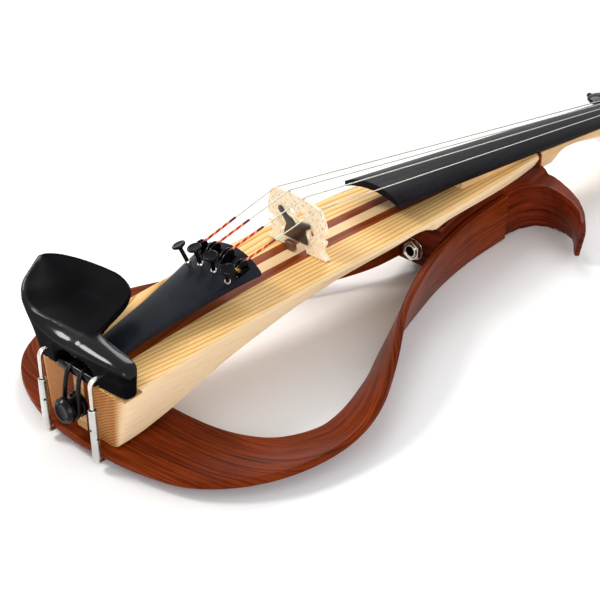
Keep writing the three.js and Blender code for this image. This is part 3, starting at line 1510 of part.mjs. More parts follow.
function leadChannelSolid() {
  const half = leadRadius + leadRoom;
  return boxBetween(
    new THREE.Vector3(0, -half, blockTop),
    new THREE.Vector3(leadTurnX, leadY + half, leadLevel),
  );
}

function addBody() {
  const coreTools = [endButtonHole(), leadSolid(leadRoom), leadChannelSolid()];
  const core = flatLayer(-coreHalfWidth, coreHalfWidth, stopLength);
  addPiece('body_core', 'maple', cut(core, ...coreTools));
  addPiece('body_accent_bass', 'mahogany', cut(accentLayer(1), endButtonHole()));
  addPiece('body_accent_treble', 'mahogany', cut(accentLayer(-1), endButtonHole()));
  addPiece('body_side_bass', 'spruce', sideLayer(1));
  addPiece('body_side_treble', 'spruce', sideLayer(-1));
  addPiece('frame_band', 'walnut', bandSolid(0));
  const blockTools = [bandSolid(seatGap), jackPocketSolid(), jackBoreSolid(), leadSolid(leadRoom)];
  addPiece('shoulder_block', 'walnut', cutMainBody(shoulderBlockSolid(), ...blockTools));
}

function addNeck() {
  addPiece('neck', 'maple', neckWithHead());
  addPiece('neck_joint_strip', 'ebony', jointStripSolid());
  addPiece('fingerboard', 'rosewood', fingerboardSolid());
  addPiece('fingerboard_wedge', 'maple', wedgeSolid());
  addPiece('nut', 'ebony', nutSolid());
  pegs.forEach((peg) => {
    addPiece(`peg_${peg.string}`, 'ebony', pegSolid(peg, 0));
    addPiece(`winding_${peg.string}`, 'steel', windingSolid(peg));
  });
}

function addStringFittings() {
  addPiece('bridge', 'bridgeMaple', bridgeSolid());
  addPiece('bridge_pickup', 'plastic', pickupSolid());
  addPiece('pickup_connector', 'plastic', connectorSolid());
  addPiece('pickup_lead', 'plastic', leadSolid(0));
  addPiece('tailpiece', 'composite', tailpieceWithSlots());
  tuners.forEach((tuner) => {
    addPiece(`tuner_lever_${tuner.string}`, 'blackMetal', leverSolid(tuner));
    addPiece(`tuner_stem_${tuner.string}`, 'blackMetal', tunerStem(tuner));
    addPiece(`tuner_head_${tuner.string}`, 'blackMetal', tunerHead(tuner));
    addPiece(`string_${tuner.string}`, 'steel', stringSolid(tuner));
  });
  addPiece('tailgut', 'plastic', tailgutSolid());
  addPiece('saddle', 'ebony', saddleSolid());
  addPiece('end_button', 'ebony', endButtonSolid());
}

function addChinRest() {
  addPiece('chin_rest', 'ebony', chinRestSolid());
  addPiece('chin_rest_cork_bass', 'cork', corkSolid(corkBassShares));
  addPiece('chin_rest_cork_treble', 'cork', corkSolid(corkTrebleShares));
  clamps.forEach((clamp) => {
    addPiece(`clamp_stud_${clamp.name}`, 'nickel', studSolid(clamp, 0));
    addPiece(`clamp_barrel_${clamp.name}`, 'nickel', barrelSolid(clamp));
    addPiece(`clamp_foot_${clamp.name}`, 'nickel', footSolid(clamp));
  });
}

function addJack() {
  addPiece('jack_sleeve', 'nickel', jackSleeveSolid());
  addPiece('jack_washer', 'nickel', jackWasherSolid());
  addPiece('jack_nut', 'nickel', jackNutSolid());
  addPiece('jack_housing', 'plastic', jackHousingSolid());
}

addBody();
addNeck();
addStringFittings();
addChinRest();
addJack();

pegs.forEach((peg) => {
  console.log(`least gap between turns of winding_${peg.string}: ${windingLeastGap(peg).toFixed(3)} mm`);
});

// The whole instrument stands on its lowest level, with its middle over the zero point
const reach = new THREE.Box3().setFromObject(violin);
const middle = reach.getCenter(new THREE.Vector3());
violin.position.set(-middle.x, -middle.y, -reach.min.z);
violin.updateMatrixWorld(true);

export default violin;
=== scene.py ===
"""Looks of an electric violin: a slim laminated stick body in a bent wooden frame."""

import math

import bmesh
import bpy
from mathutils import Matrix, Vector


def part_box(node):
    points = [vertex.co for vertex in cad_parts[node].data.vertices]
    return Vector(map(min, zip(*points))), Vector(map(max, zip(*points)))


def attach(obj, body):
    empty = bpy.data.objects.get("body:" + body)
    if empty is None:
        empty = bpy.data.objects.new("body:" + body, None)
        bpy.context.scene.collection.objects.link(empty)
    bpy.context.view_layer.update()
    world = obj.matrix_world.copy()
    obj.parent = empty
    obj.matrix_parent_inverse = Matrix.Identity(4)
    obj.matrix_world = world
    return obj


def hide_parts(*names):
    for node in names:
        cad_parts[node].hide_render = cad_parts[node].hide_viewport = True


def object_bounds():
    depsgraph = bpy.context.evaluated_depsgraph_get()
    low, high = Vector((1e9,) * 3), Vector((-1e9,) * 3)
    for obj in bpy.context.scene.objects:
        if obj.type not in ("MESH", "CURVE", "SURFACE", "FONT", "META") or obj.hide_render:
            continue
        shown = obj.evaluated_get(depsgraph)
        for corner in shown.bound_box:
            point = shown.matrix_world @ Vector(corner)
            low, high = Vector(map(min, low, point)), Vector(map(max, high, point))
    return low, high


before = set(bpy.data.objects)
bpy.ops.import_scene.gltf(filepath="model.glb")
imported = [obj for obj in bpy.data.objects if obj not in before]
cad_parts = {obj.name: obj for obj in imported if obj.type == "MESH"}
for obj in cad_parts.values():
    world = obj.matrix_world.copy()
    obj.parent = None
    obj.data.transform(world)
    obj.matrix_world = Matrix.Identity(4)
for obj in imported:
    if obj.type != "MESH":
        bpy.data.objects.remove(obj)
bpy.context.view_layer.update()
bpy.context.scene.view_settings.view_transform = "Standard"

# The build frame. Sizes below are in millimetres from the top of the body under the bridge,
# as a maker measures them, and core_low and core_high tie that point to the loaded model.
TAIL_LENGTH = 158.2
core_low, core_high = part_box("body_core")
BRIDGE_FOOT = Vector((
    core_low.x * 1000 + TAIL_LENGTH,
    (core_low.y + core_high.y) * 500,
    core_high.z * 1000,
))


def metres(point):
    """A place in millimetres from the top of the body, as a point of the scene."""
    return (Vector(point) + BRIDGE_FOOT) / 1000


# Camera: a 90 mm lens about 0.85 m from the bridge, in front of the tail and above the treble
# side. Its right, down and ahead directions were fitted to the object's measured points.
CAMERA_PLACE = (-526.16, -522.17, 408.17)
CAMERA_RIGHT = Vector((0.69985, -0.71422, -0.01022))
CAMERA_DOWN = Vector((-0.37203, -0.35225, -0.85879))
CAMERA_AHEAD = Vector((0.60977, 0.60482, -0.51223))
LENS = 90.5
SENSOR_WIDTH = 36
FARTHEST_VIEW = 20


def add_object(name, data):
    """Adds an object for a mesh, curve, light or camera to the scene."""
    thing = bpy.data.objects.new(name, data)
    bpy.context.scene.collection.objects.link(thing)
    return thing


camera_data = bpy.data.cameras.new("camera")
camera_data.lens = LENS
camera_data.sensor_width = SENSOR_WIDTH
camera_data.clip_end = FARTHEST_VIEW
camera = add_object("camera", camera_data)
camera.matrix_world = Matrix((CAMERA_RIGHT, -CAMERA_DOWN, -CAMERA_AHEAD)).transposed().to_4x4()
camera.location = metres(CAMERA_PLACE)
bpy.context.scene.camera = camera

# Stick body: five layers glued on edge, a maple core between two mahogany layers and two
# outer boards of spruce. It is deep at the tail, thin at the waist, planed flush on top and
# rounded along the outer top edges, then sealed with a clear satin lacquer.
STOP_LENGTH = 202
BODY_HALF_WIDTH = 33.5
NECK_END_HALF_WIDTH = 18.6
CORE_HALF_WIDTH = 4
ACCENT_HALF_WIDTH = 11
TAIL_DEPTH = 31.5
WAIST_DEPTH = 11.5
NECK_END_DEPTH = 19.5
TAIL_FALL = 9.8
NECK_FALL = 5.8
PLATE_REACH = 89
PLATE_STEP_SHARE = 0.86
SIDE_END = 200.4
FLANGE_GAP = 0.3
SEAT_START = 78
TOP_EDGE_RADIUS = 2.2
BOTTOM_EDGE_RADIUS = 2.4
SEAT_EDGE_RADIUS = 0.6
TAIL_CORNER_RADIUS = 8
TAIL_CORNER_LOW_RADIUS = 2.2
TIP_RADIUS = 3
BODY_DRAFT = 6
LAYER_STEP = 4
TAIL_STEPS = 12
TAIL_STEP_POWER = 2.2
TIP_STEPS = 6
EDGE_STEPS = 10
LOW_EDGE_STEPS = 5
# Each row below is a share of the length, then a share of the fall, the taper or the depth
TAIL_FALL_SHARES = ((0, 0), (0.32, 0.14), (0.64, 0.46), (1, 1))
NECK_FALL_SHARES = ((0, 0), (0.24, 0.09), (0.54, 0.34), (0.84, 0.76), (1, 1))
NECK_TAPER_SHARES = ((0, 0), (0.24, 0), (0.465, 0.115), (0.73, 0.44), (1, 1))
TAIL_SWEEP_SHARES = (
    (0, 0.12), (0.26, 0.25), (0.51, 0.49), (0.61, 0.65), (0.75, 0.86), (0.9, 1), (1, 1),
)
WAIST_SWEEP_SHARES = ((0, 0.12), (0.4, 0.04), (0.72, 0), (PLATE_STEP_SHARE, 0))
# The outer boards' undersides rise towards their edges, as a hull's do: a place and the rise
EDGE_LIFT_ROWS = (
    (-158.2, 0), (-140, 1), (-116, 2.2), (-95, 3.2), (-74, 3.7), (-52, 4.3), (-30, 5.4), (0, 6),
    (22, 5.6), (48, 4.9), (66, 5.2), (74, 4.4), (80, 3.6), (89, 8.6), (105, 9.6), (140, 8.2),
    (175, 6.4), (202, 6.4),
)


def hermite(t, start, leave, end, arrive):
    """The smooth line from start to end at a share t, with the slopes it leaves and arrives at."""
    return ((2 * t ** 3 - 3 * t ** 2 + 1) * start + (t ** 3 - 2 * t ** 2 + t) * leave
            + (3 * t ** 2 - 2 * t ** 3) * end + (t ** 3 - t ** 2) * arrive)


def read_shares(rows, place):
    """A smooth line through rows of (place, value)."""
    last = len(rows) - 1
    if place <= rows[0][0]:
        return rows[0][1]
    if place >= rows[last][0]:
        return rows[last][1]
    index = next(i for i, row in enumerate(rows) if row[0] > place) - 1
    before, start = rows[max(index - 1, 0)], rows[index]
    end, after = rows[index + 1], rows[min(index + 2, last)]
    span = end[0] - start[0]
    leave = (end[1] - before[1]) / (end[0] - before[0]) * span
    arrive = (after[1] - start[1]) / (after[0] - start[0]) * span
    return hermite((place - start[0]) / span, start[1], leave, end[1], arrive)


def lerp(low, high, share):
    """The value at a share of the way from low to high."""
    return low + (high - low) * share


def smoothstep(share, low, high):
    """A share that rises smoothly from 0 at low to 1 at high."""
    t = min(max((share - low) / (high - low), 0), 1)
    return t * t * (3 - 2 * t)


def body_top(x):
    """The height of the body's top along its length."""
    if x < 0:
        return -TAIL_FALL * read_shares(TAIL_FALL_SHARES, -x / TAIL_LENGTH)
    return -NECK_FALL * read_shares(NECK_FALL_SHARES, x / STOP_LENGTH)


def body_bottom(x):
    """The height of the body's underside along its middle."""
    sweep = TAIL_FALL + TAIL_DEPTH - WAIST_DEPTH
    if x < 0:
        return -WAIST_DEPTH - sweep * read_shares(TAIL_SWEEP_SHARES, -x / TAIL_LENGTH)
    hollow = -WAIST_DEPTH - sweep * read_shares(WAIST_SWEEP_SHARES, x / PLATE_REACH)
    return lerp(hollow, -NECK_END_DEPTH, smoothstep(x / PLATE_REACH, PLATE_STEP_SHARE, 1))


def side_edges(x):
    """How far across the body's upper and lower edges are, and the height of the lower ones."""
    taper = read_shares(NECK_TAPER_SHARES, max(x, 0) / STOP_LENGTH)
    edge = lerp(BODY_HALF_WIDTH, NECK_END_HALF_WIDTH, taper)
    low = edge - BODY_DRAFT * (body_top(x) - body_bottom(x)) / TAIL_DEPTH
    return edge, low, body_bottom(x) + read_shares(EDGE_LIFT_ROWS, x)


def corner_inset(distance, radius):
    """How far a rounded corner stands in, at a distance from its end."""
    if distance >= radius:
        return 0
    return radius - math.sqrt(radius ** 2 - (radius - distance) ** 2)


def layer_places(end):
    """Places along a layer, closer together near both ends, where corners are rounded."""
    near = [TAIL_CORNER_RADIUS * (i / TAIL_STEPS) ** TAIL_STEP_POWER - TAIL_LENGTH for i in range(TAIL_STEPS)]
    far = [end - TIP_RADIUS * (1 - math.cos(i / TIP_STEPS * math.pi / 2)) for i in reversed(range(TIP_STEPS))]
    start = TAIL_CORNER_RADIUS - TAIL_LENGTH
    count = round((far[0] - start) / LAYER_STEP)
    return near + [start + (far[0] - start) * i / count for i in range(count)] + far


def make_mesh(name, points, faces, uvs=None):
    """A closed mesh from points in the build frame, with its doubled seam points joined."""
    mesh = bpy.data.meshes.new(name)
    mesh.from_pydata([metres(point) for point in points], [], faces)
    if uvs:
        layer = mesh.uv_layers.new(name="along")
        for loop in mesh.loops:
            layer.data[loop.index].uv = uvs[loop.vertex_index]
    merged = bmesh.new()
    merged.from_mesh(mesh)
    bmesh.ops.remove_doubles(merged, verts=merged.verts, dist=1e-6)
    bmesh.ops.recalc_face_normals(merged, faces=merged.faces)
    merged.to_mesh(mesh)
    merged.free()
    return mesh


def stand_piece(mesh, name, material, node, body="instrument", angle=35):
    """Makes an object of a finished mesh with its material and smooth shading, in its body, and hides the
    node of the model that it stands in for.
    """
    mesh.materials.clear()
    mesh.materials.append(material)
    mesh.shade_smooth()
    mesh.set_sharp_from_angle(angle=math.radians(angle))
    piece = add_object(name, mesh)
    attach(piece, body)
    if node:
        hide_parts(node)
    return piece


def make_piece(name, points, faces, material, node, slot, body="instrument", angle=32, uvs=None):
    """Makes a closed mesh and an object of it."""
    return stand_piece(make_mesh(name, points, faces, uvs), name, material, node, body, angle)


def skin_faces(rows, columns, closed=True, capped=True):
    """Faces over rows of points of equal count, with a flat face at each end."""
    faces = []
    for row in range(rows - 1):
        for column in range(columns if closed else columns - 1):
            a, b = row * columns + column, row * columns + (column + 1) % columns
            faces.append((a, b, b + columns, a + columns))
    if capped:
        faces.append(tuple(range(columns)))
        faces.append(tuple((rows - 1) * columns + i for i in range(columns)))
    return faces


def skin(rows):
    """The points and faces of a closed form through rows of points of equal count."""
    return [point for row in rows for point in row], skin_faces(len(rows), len(rows[0]))


def linear(hex_colour):
    """An sRGB hex colour as the linear values that shaders read."""
    channels = [int(hex_colour[i:i + 2], 16) / 255 for i in (1, 3, 5)]
    return tuple(c / 12.92 if c <= 0.04045 else ((c + 0.055) / 1.055) ** 2.4 for c in channels) + (1,)


def add_node(tree, kind, inputs=None, stops=(), **settings):
    """Adds a node. Inputs are values, or a node or (node, output) to link from. The stops
    are a colour ramp's places and sRGB hex colours."""
    node = tree.nodes.new(kind)
    for key, value in settings.items():
        setattr(node, key, value)
    for index, (position, colour) in enumerate(stops):
        if index >= len(node.color_ramp.elements):
            node.color_ramp.elements.new(position)
        node.color_ramp.elements[index].position = position
        node.color_ramp.elements[index].color = linear(colour)
    for key, value in (inputs or {}).items():
        if isinstance(value, bpy.types.Node):
            value = (value, 0)
        if isinstance(value, tuple) and isinstance(value[0], bpy.types.Node):
            tree.links.new(value[0].outputs[value[1]], node.inputs[key])
        else:
            node.inputs[key].default_value = value
    return node


def new_material(name):
    """A material with an empty node tree, and that tree."""
    material = bpy.data.materials.new(name)
    material.use_nodes = True
    material.node_tree.nodes.clear()
    return material, material.node_tree


def finish_material(tree, colour, roughness, bump=None, metallic=0, coat=0, coat_roughness=0.1, specular=0.3):
    """Ends a material in its shader. Colour, roughness and coat are values or nodes to link from."""
    inputs = {"Base Color": colour, "Roughness": roughness, "Metallic": metallic, "IOR": 1.5,
              "Coat Weight": coat, "Coat Roughness": coat_roughness, "Specular IOR Level": specular}
    if bump is not None:
        inputs["Normal"] = bump
    shader = add_node(tree, "ShaderNodeBsdfPrincipled", inputs)
    add_node(tree, "ShaderNodeOutputMaterial", {"Surface": shader})


def board_material(name, pith, ring_width, stops, end_stops, fibre_dark, flank_calm_and_light=0.0):
    """A sawn board along X. Year rings circle the pith, so that they run as lines along the
    faces and show as arcs on the sawn ends, and fine fibres run with them."""
    material, tree = new_material(name)
    place = add_node(tree, "ShaderNodeTexCoord")
    wander = add_node(tree, "ShaderNodeMapping", {"Vector": (place, "Object"), "Scale": (4, 22, 22)})
    slow = add_node(tree, "ShaderNodeTexNoise", {"Vector": wander, "Scale": 1.0, "Detail": 3.0})
    pith_place = metres((0, pith[0], pith[1]))
    pith_line = (0, pith_place.y, pith_place.z)
    across = add_node(tree, "ShaderNodeVectorMath", {0: (place, "Object"), 1: pith_line},
                      operation="SUBTRACT")
    flat = add_node(tree, "ShaderNodeVectorMath", {0: across, 1: (0.012, 1, 1)}, operation="MULTIPLY")
    distance = add_node(tree, "ShaderNodeVectorMath", {0: flat}, operation="LENGTH")
    width = ring_width / 1000
    rings = add_node(tree, "ShaderNodeMath", {0: (distance, "Value"), 1: width}, operation="DIVIDE")
    shifted = add_node(tree, "ShaderNodeMath", {0: (slow, "Fac"), 1: 3.0, 2: rings}, operation="MULTIPLY_ADD")
    year = add_node(tree, "ShaderNodeMath", {0: shifted}, operation="FRACT")
    # Each year is pale early wood that darkens slowly and ends in a sharp dark line
    face_colour = add_node(tree, "ShaderNodeValToRGB", {"Fac": year}, stops)
    end_colour = add_node(tree, "ShaderNodeValToRGB", {"Fac": year}, end_stops)
    normal = add_node(tree, "ShaderNodeNewGeometry")
    facing = add_node(tree, "ShaderNodeSeparateXYZ", {0: (normal, "Normal")})
    end_share = add_node(tree, "ShaderNodeMath", {0: (facing, "X")}, operation="ABSOLUTE")
    end_mix = add_node(tree, "ShaderNodeMath", {0: end_share, 1: 2.0}, operation="POWER")
    # Cut along the rings, on the flanks, the lines are faint, and the flanks are painted a paler colour, a
    # painted light that stands for the light falling on them
    side_share = add_node(tree, "ShaderNodeMath", {0: (facing, "Y")}, operation="ABSOLUTE")
    calm_and_light_share = add_node(tree, "ShaderNodeMath", {0: side_share, 1: flank_calm_and_light}, operation="MULTIPLY")
    calmed_and_lit = add_node(tree, "ShaderNodeMix", {0: calm_and_light_share, 6: face_colour, 7: linear("#EBD2AE")},
                    data_type="RGBA")
    colour = add_node(tree, "ShaderNodeMix", {0: end_mix, 6: (calmed_and_lit, 2), 7: end_colour}, data_type="RGBA")
    # Fibres about 0.7 mm wide, coarser than the real ones so that they show, and some 20 mm long
    fibre_scale = (45, 1400, 1400)
    fibre_place = add_node(tree, "ShaderNodeMapping", {"Vector": (place, "Object"), "Scale": fibre_scale})
    fibre = add_node(tree, "ShaderNodeTexNoise", {"Vector": fibre_place, "Scale": 1.0, "Detail": 2.0})
    streak = add_node(tree, "ShaderNodeMapRange", {
        "Value": (fibre, "Fac"), "From Min": 0.45, "From Max": 0.75, "To Min": 0.0, "To Max": 0.35})
    tinted = add_node(tree, "ShaderNodeMix", {0: streak, 6: (colour, 2), 7: linear(fibre_dark)},
                      data_type="RGBA")
    bump = add_node(tree, "ShaderNodeBump", {"Strength": 0.12, "Distance": 0.0002, "Height": (fibre, "Fac")})
    finish_material(tree, (tinted, 2), 0.42, bump=bump, coat=0.02, coat_roughness=0.12, specular=0.05)
    return material


# Spruce, quarter sawn and lacquered: cream early wood with honey brown lines about 2 mm apart
SPRUCE_LINES = ((0, "#F3CE8E"), (0.5, "#EEC380"), (0.8, "#DCA65C"), (0.93, "#A9702F"), (1, "#E8BE7A"))
SPRUCE_END_LINES = ((0, "#B57C48"), (0.5, "#A66C3A"), (0.78, "#8A5028"), (0.92, "#5A2D12"), (1, "#A56B39"))
spruce_treble, spruce_bass = (
    board_material(f"lacquered_spruce_{side}", pith, 1.5, SPRUCE_LINES, SPRUCE_END_LINES, "#CF9E60", 0.88)
    for side, pith in (("treble", (-77, -115)), ("bass", (60, -120)))
)
# Maple core: pale pinkish wood, nearly even, with faint rings
maple_core = board_material(
    "lacquered_maple", (0, -90), 5.0,
    ((0, "#EBCBA0"), (0.6, "#E7C394"), (0.9, "#DDB37F"), (1, "#E9C79A")),
    ((0, "#DDB382"), (0.6, "#D6A876"), (0.9, "#C4905C"), (1, "#DAB07E")),
    "#D2A677",
)
# Mahogany layers: warm red brown with darker lengthwise pores
mahogany = board_material(
    "lacquered_mahogany", (20, -70), 3.2,
    ((0, "#934516"), (0.5, "#873B10"), (0.85, "#6E2C0B"), (1, "#8D4114")),
    ((0, "#7E3B18"), (0.5, "#723312"), (0.85, "#5C270D"), (1, "#7A3916")),
    "#561F08",
)


def make_flat_layer(node, places, material, slot):
    """A layer with upright faces, from its places along and how far across both faces are."""
    rows = [[(x, inner, body_top(x)), (x, outer, body_top(x)), (x, outer, body_bottom(x)),
             (x, inner, body_bottom(x))] for x, inner, outer in places]
    return make_piece(f"{node}_board", *skin(rows), material, node, slot)


def make_side_layer(node, side, material):
    """An outer board, rounded along its edges and at the tail."""
    rows = []
    for x in layer_places(SIDE_END):
        top, bottom = body_top(x), body_bottom(x)
        edge, low, edge_bottom = side_edges(x)
        tip = corner_inset(SIDE_END - x, TIP_RADIUS)
        edge, low = edge - tip, low - tip
        radius = min(TOP_EDGE_RADIUS, (top - edge_bottom) / 2)
        low_radius = lerp(BOTTOM_EDGE_RADIUS, SEAT_EDGE_RADIUS, smoothstep(x, SEAT_START, PLATE_REACH))
        row = [(ACCENT_HALF_WIDTH, top)]
        for step in range(EDGE_STEPS + 1):
            angle = step / EDGE_STEPS * math.pi / 2
            row.append((edge - radius + radius * math.sin(angle), top - radius + radius * math.cos(angle)))
        for step in range(LOW_EDGE_STEPS + 1):
            angle = step / LOW_EDGE_STEPS * math.pi / 2
            row.append((low - low_radius + low_radius * math.cos(angle),
                        edge_bottom + low_radius - low_radius * math.sin(angle)))
        row.append((ACCENT_HALF_WIDTH, bottom))
        # The upright corner at the tail is broad above and nearly sharp at the foot
        placed = []
        for y, z in row:
            radius = lerp(TAIL_CORNER_RADIUS, TAIL_CORNER_LOW_RADIUS, (top - z) / (top - bottom))
            placed.append((x, side * max(y - corner_inset(x + TAIL_LENGTH, radius), ACCENT_HALF_WIDTH), z))
        rows.append(placed)
    return make_piece(f"{node}_board", *skin(rows), material, node, "spruce")


# Each layer beside the core ends in a thin flange across the board's end, at the neck
make_flat_layer("body_core", [(x, -CORE_HALF_WIDTH, CORE_HALF_WIDTH) for x in layer_places(STOP_LENGTH)],
                maple_core, "maple")
for node, side in (("body_accent_bass", 1), ("body_accent_treble", -1)):
    layer = [(x, ACCENT_HALF_WIDTH) for x in [*layer_places(SIDE_END), SIDE_END + FLANGE_GAP]]
    flange = [(x, NECK_END_HALF_WIDTH) for x in (SIDE_END + 2 * FLANGE_GAP, STOP_LENGTH)]
    make_flat_layer(node, [(x, side * CORE_HALF_WIDTH, side * outer) for x, outer in layer + flange],
                    mahogany, "mahogany")
make_side_layer("body_side_bass", 1, spruce_bass)
make_side_layer("body_side_treble", -1, spruce_treble)

# Frame band: one ribbon of thin laminations bent in a mould, flat under the tail and twisted on
# edge at the waist. Rows give its outer and inner edge as shares of the frame's length, half
# width and height change, from the block's end round the tail to the block's flank.
FRAME_LENGTH = 329.7
FRAME_OVERHANG = 7.3
TREBLE_HALF_WIDTH = 108.7
BASS_HALF_WIDTH = 99
BAND_THICKNESS = 4.6
BAND_RISE = 25
BAND_DROP = 7.6
BAND_EDGE_RADIUS = 1.1
SEAT_GAP = 0.3
BAND_LEVEL = -TAIL_FALL - TAIL_DEPTH - SEAT_GAP - BAND_THICKNESS / 2
PLACES_PER_ROW = 6
BAND_CORNER_STEPS = 3
BAND_SLOPE_SHARE = 0.002
BASS_BAND_SHARES = (
    (0.77, 0.04, 0.945, 0.77, 0.03, -0.35), (0.714, 0.1, 0.91, 0.711, 0.06, -0.09),
    (0.651, 0.222, 0.76, 0.645, 0.136, 0.17), (0.581, 0.394, 0.54, 0.563, 0.263, 0.33),
    (0.508, 0.576, 0.32, 0.481, 0.419, 0.35), (0.438, 0.747, 0.16, 0.414, 0.556, 0.28),
    (0.372, 0.884, 0.06, 0.359, 0.677, 0.19), (0.311, 0.965, 0.02, 0.32, 0.747, 0.14),
    (0.256, 1, 0, 0.29, 0.773, 0.1), (0.196, 0.98, 0, 0.256, 0.773, 0.05),
    (0.135, 0.909, 0, 0.223, 0.727, 0), (0.086, 0.803, 0, 0.193, 0.626, 0),
    (0.051, 0.66, 0, 0.171, 0.485, 0), (0.025, 0.479, 0, 0.162, 0.333, 0),
    (0.008, 0.276, 0, 0.158, 0.172, 0),
)
TREBLE_BAND_SHARES = (
    (0, 0, 0, 0.157, 0, 0), (0.006, 0.25, 0, 0.157, 0.15, 0), (0.018, 0.454, 0, 0.16, 0.3, 0),
    (0.041, 0.648, 0, 0.168, 0.45, 0), (0.085, 0.805, 0.02, 0.184, 0.585, 0),
    (0.14, 0.915, 0.05, 0.208, 0.69, 0.01), (0.202, 0.979, 0.09, 0.24, 0.752, 0.05),
    (0.265, 1, 0.15, 0.285, 0.787, 0.14), (0.32, 0.988, 0.27, 0.325, 0.775, 0.22),
    (0.37, 0.943, 0.44, 0.368, 0.74, 0.31), (0.42, 0.862, 0.61, 0.412, 0.69, 0.43),
    (0.461, 0.785, 0.75, 0.456, 0.632, 0.58), (0.5, 0.703, 0.87, 0.5, 0.56, 0.73),
    (0.545, 0.612, 0.95, 0.547, 0.487, 0.86), (0.605, 0.512, 0.99, 0.607, 0.421, 0.96),
    (0.69, 0.393, 0.99, 0.69, 0.335, 1), (0.774, 0.301, 0.955, 0.77, 0.262, 1),
    (0.88, 0.222, 0.945, 0.88, 0.2, 1), (1, 0.181, 0.94, 1, 0.174, 1),
)


def curve_point(points, share):
    """A point on the centripetal curve through points, at a share of their count."""
    last = len(points) - 1
    place = min(max(share, 0), 1) * last
    index = min(int(place), last - 1)
    start, end = points[index], points[index + 1]
    before = points[index - 1] if index > 0 else 2 * start - end
    after = points[index + 2] if index + 2 <= last else 2 * end - start
    knots = [0]
    for a, b in ((before, start), (start, end), (end, after)):
        knots.append(knots[-1] + max((b - a).length, 1e-4) ** 0.5)
    t = lerp(knots[1], knots[2], place - index)
    row = (before, start, end, after)
    first = [lerp(row[i], row[i + 1], (t - knots[i]) / (knots[i + 1] - knots[i])) for i in range(3)]
    second = [lerp(first[i], first[i + 1], (t - knots[i]) / (knots[i + 2] - knots[i])) for i in range(2)]
    return lerp(second[0], second[1], (t - knots[1]) / (knots[2] - knots[1]))


def edge_points(rows, half_width):
    """The points of the band's outer and inner edge that rows of shares give."""
    start = -TAIL_LENGTH - FRAME_OVERHANG
    outer, inner = [], []
    for far, wide, high, inner_far, inner_wide, low in rows:
        outer.append(Vector((start + far * FRAME_LENGTH, wide * half_width, BAND_LEVEL + high * BAND_RISE)))
        inner.append(Vector((start + inner_far * FRAME_LENGTH, inner_wide * half_width,
                             BAND_LEVEL - low * BAND_DROP)))
    return outer, inner


def make_frame_band(material):
    """The ribbon, with its map: metres along it, and metres round its section."""
    bass = edge_points(BASS_BAND_SHARES, BASS_HALF_WIDTH)
    treble = edge_points(TREBLE_BAND_SHARES, -TREBLE_HALF_WIDTH)
    outer_edge, inner_edge = bass[0] + treble[0], bass[1] + treble[1]
    count = (len(outer_edge) - 1) * PLACES_PER_ROW
    half_thick, radius = BAND_THICKNESS / 2, BAND_EDGE_RADIUS
    points, uvs, travelled, previous = [], [], 0, None
    for index in range(count + 1):
        share = index / count
        outer, inner = curve_point(outer_edge, share), curve_point(inner_edge, share)
        near, far = max(share - BAND_SLOPE_SHARE, 0), min(share + BAND_SLOPE_SHARE, 1)
        outer_way, inner_way = ((curve_point(edge, far) - curve_point(edge, near)).normalized()
                                for edge in (outer_edge, inner_edge))
        along = (outer_way + inner_way).normalized()
        middle = (outer + inner) / 2
        across = outer - inner
        half = across.length / 2
        across.normalize()
        normal = along.cross(across).normalized()
        travelled += (middle - previous).length if previous else 0
        previous = middle
        outline = []
        for wide, deep, turn in ((1, 1, 0), (-1, 1, 1), (-1, -1, 2), (1, -1, 3)):
            for step in range(BAND_CORNER_STEPS + 1):
                angle = (turn + step / BAND_CORNER_STEPS) * math.pi / 2
                outline.append((wide * (half - radius) + radius * math.cos(angle),
                                deep * (half_thick - radius) + radius * math.sin(angle)))
        outline.append(outline[0])
        around = 0
        for order, (wide, deep) in enumerate(outline):
            if order:
                around += math.dist(outline[order - 1], (wide, deep))
            points.append(middle + across * wide + normal * deep)
            uvs.append((travelled / 1000, (around - half) / 1000))
    faces = skin_faces(count + 1, len(outline), closed=False)
    return make_piece("frame_band_ribbon", points, faces, material, "frame_band", "walnut", uvs=uvs)


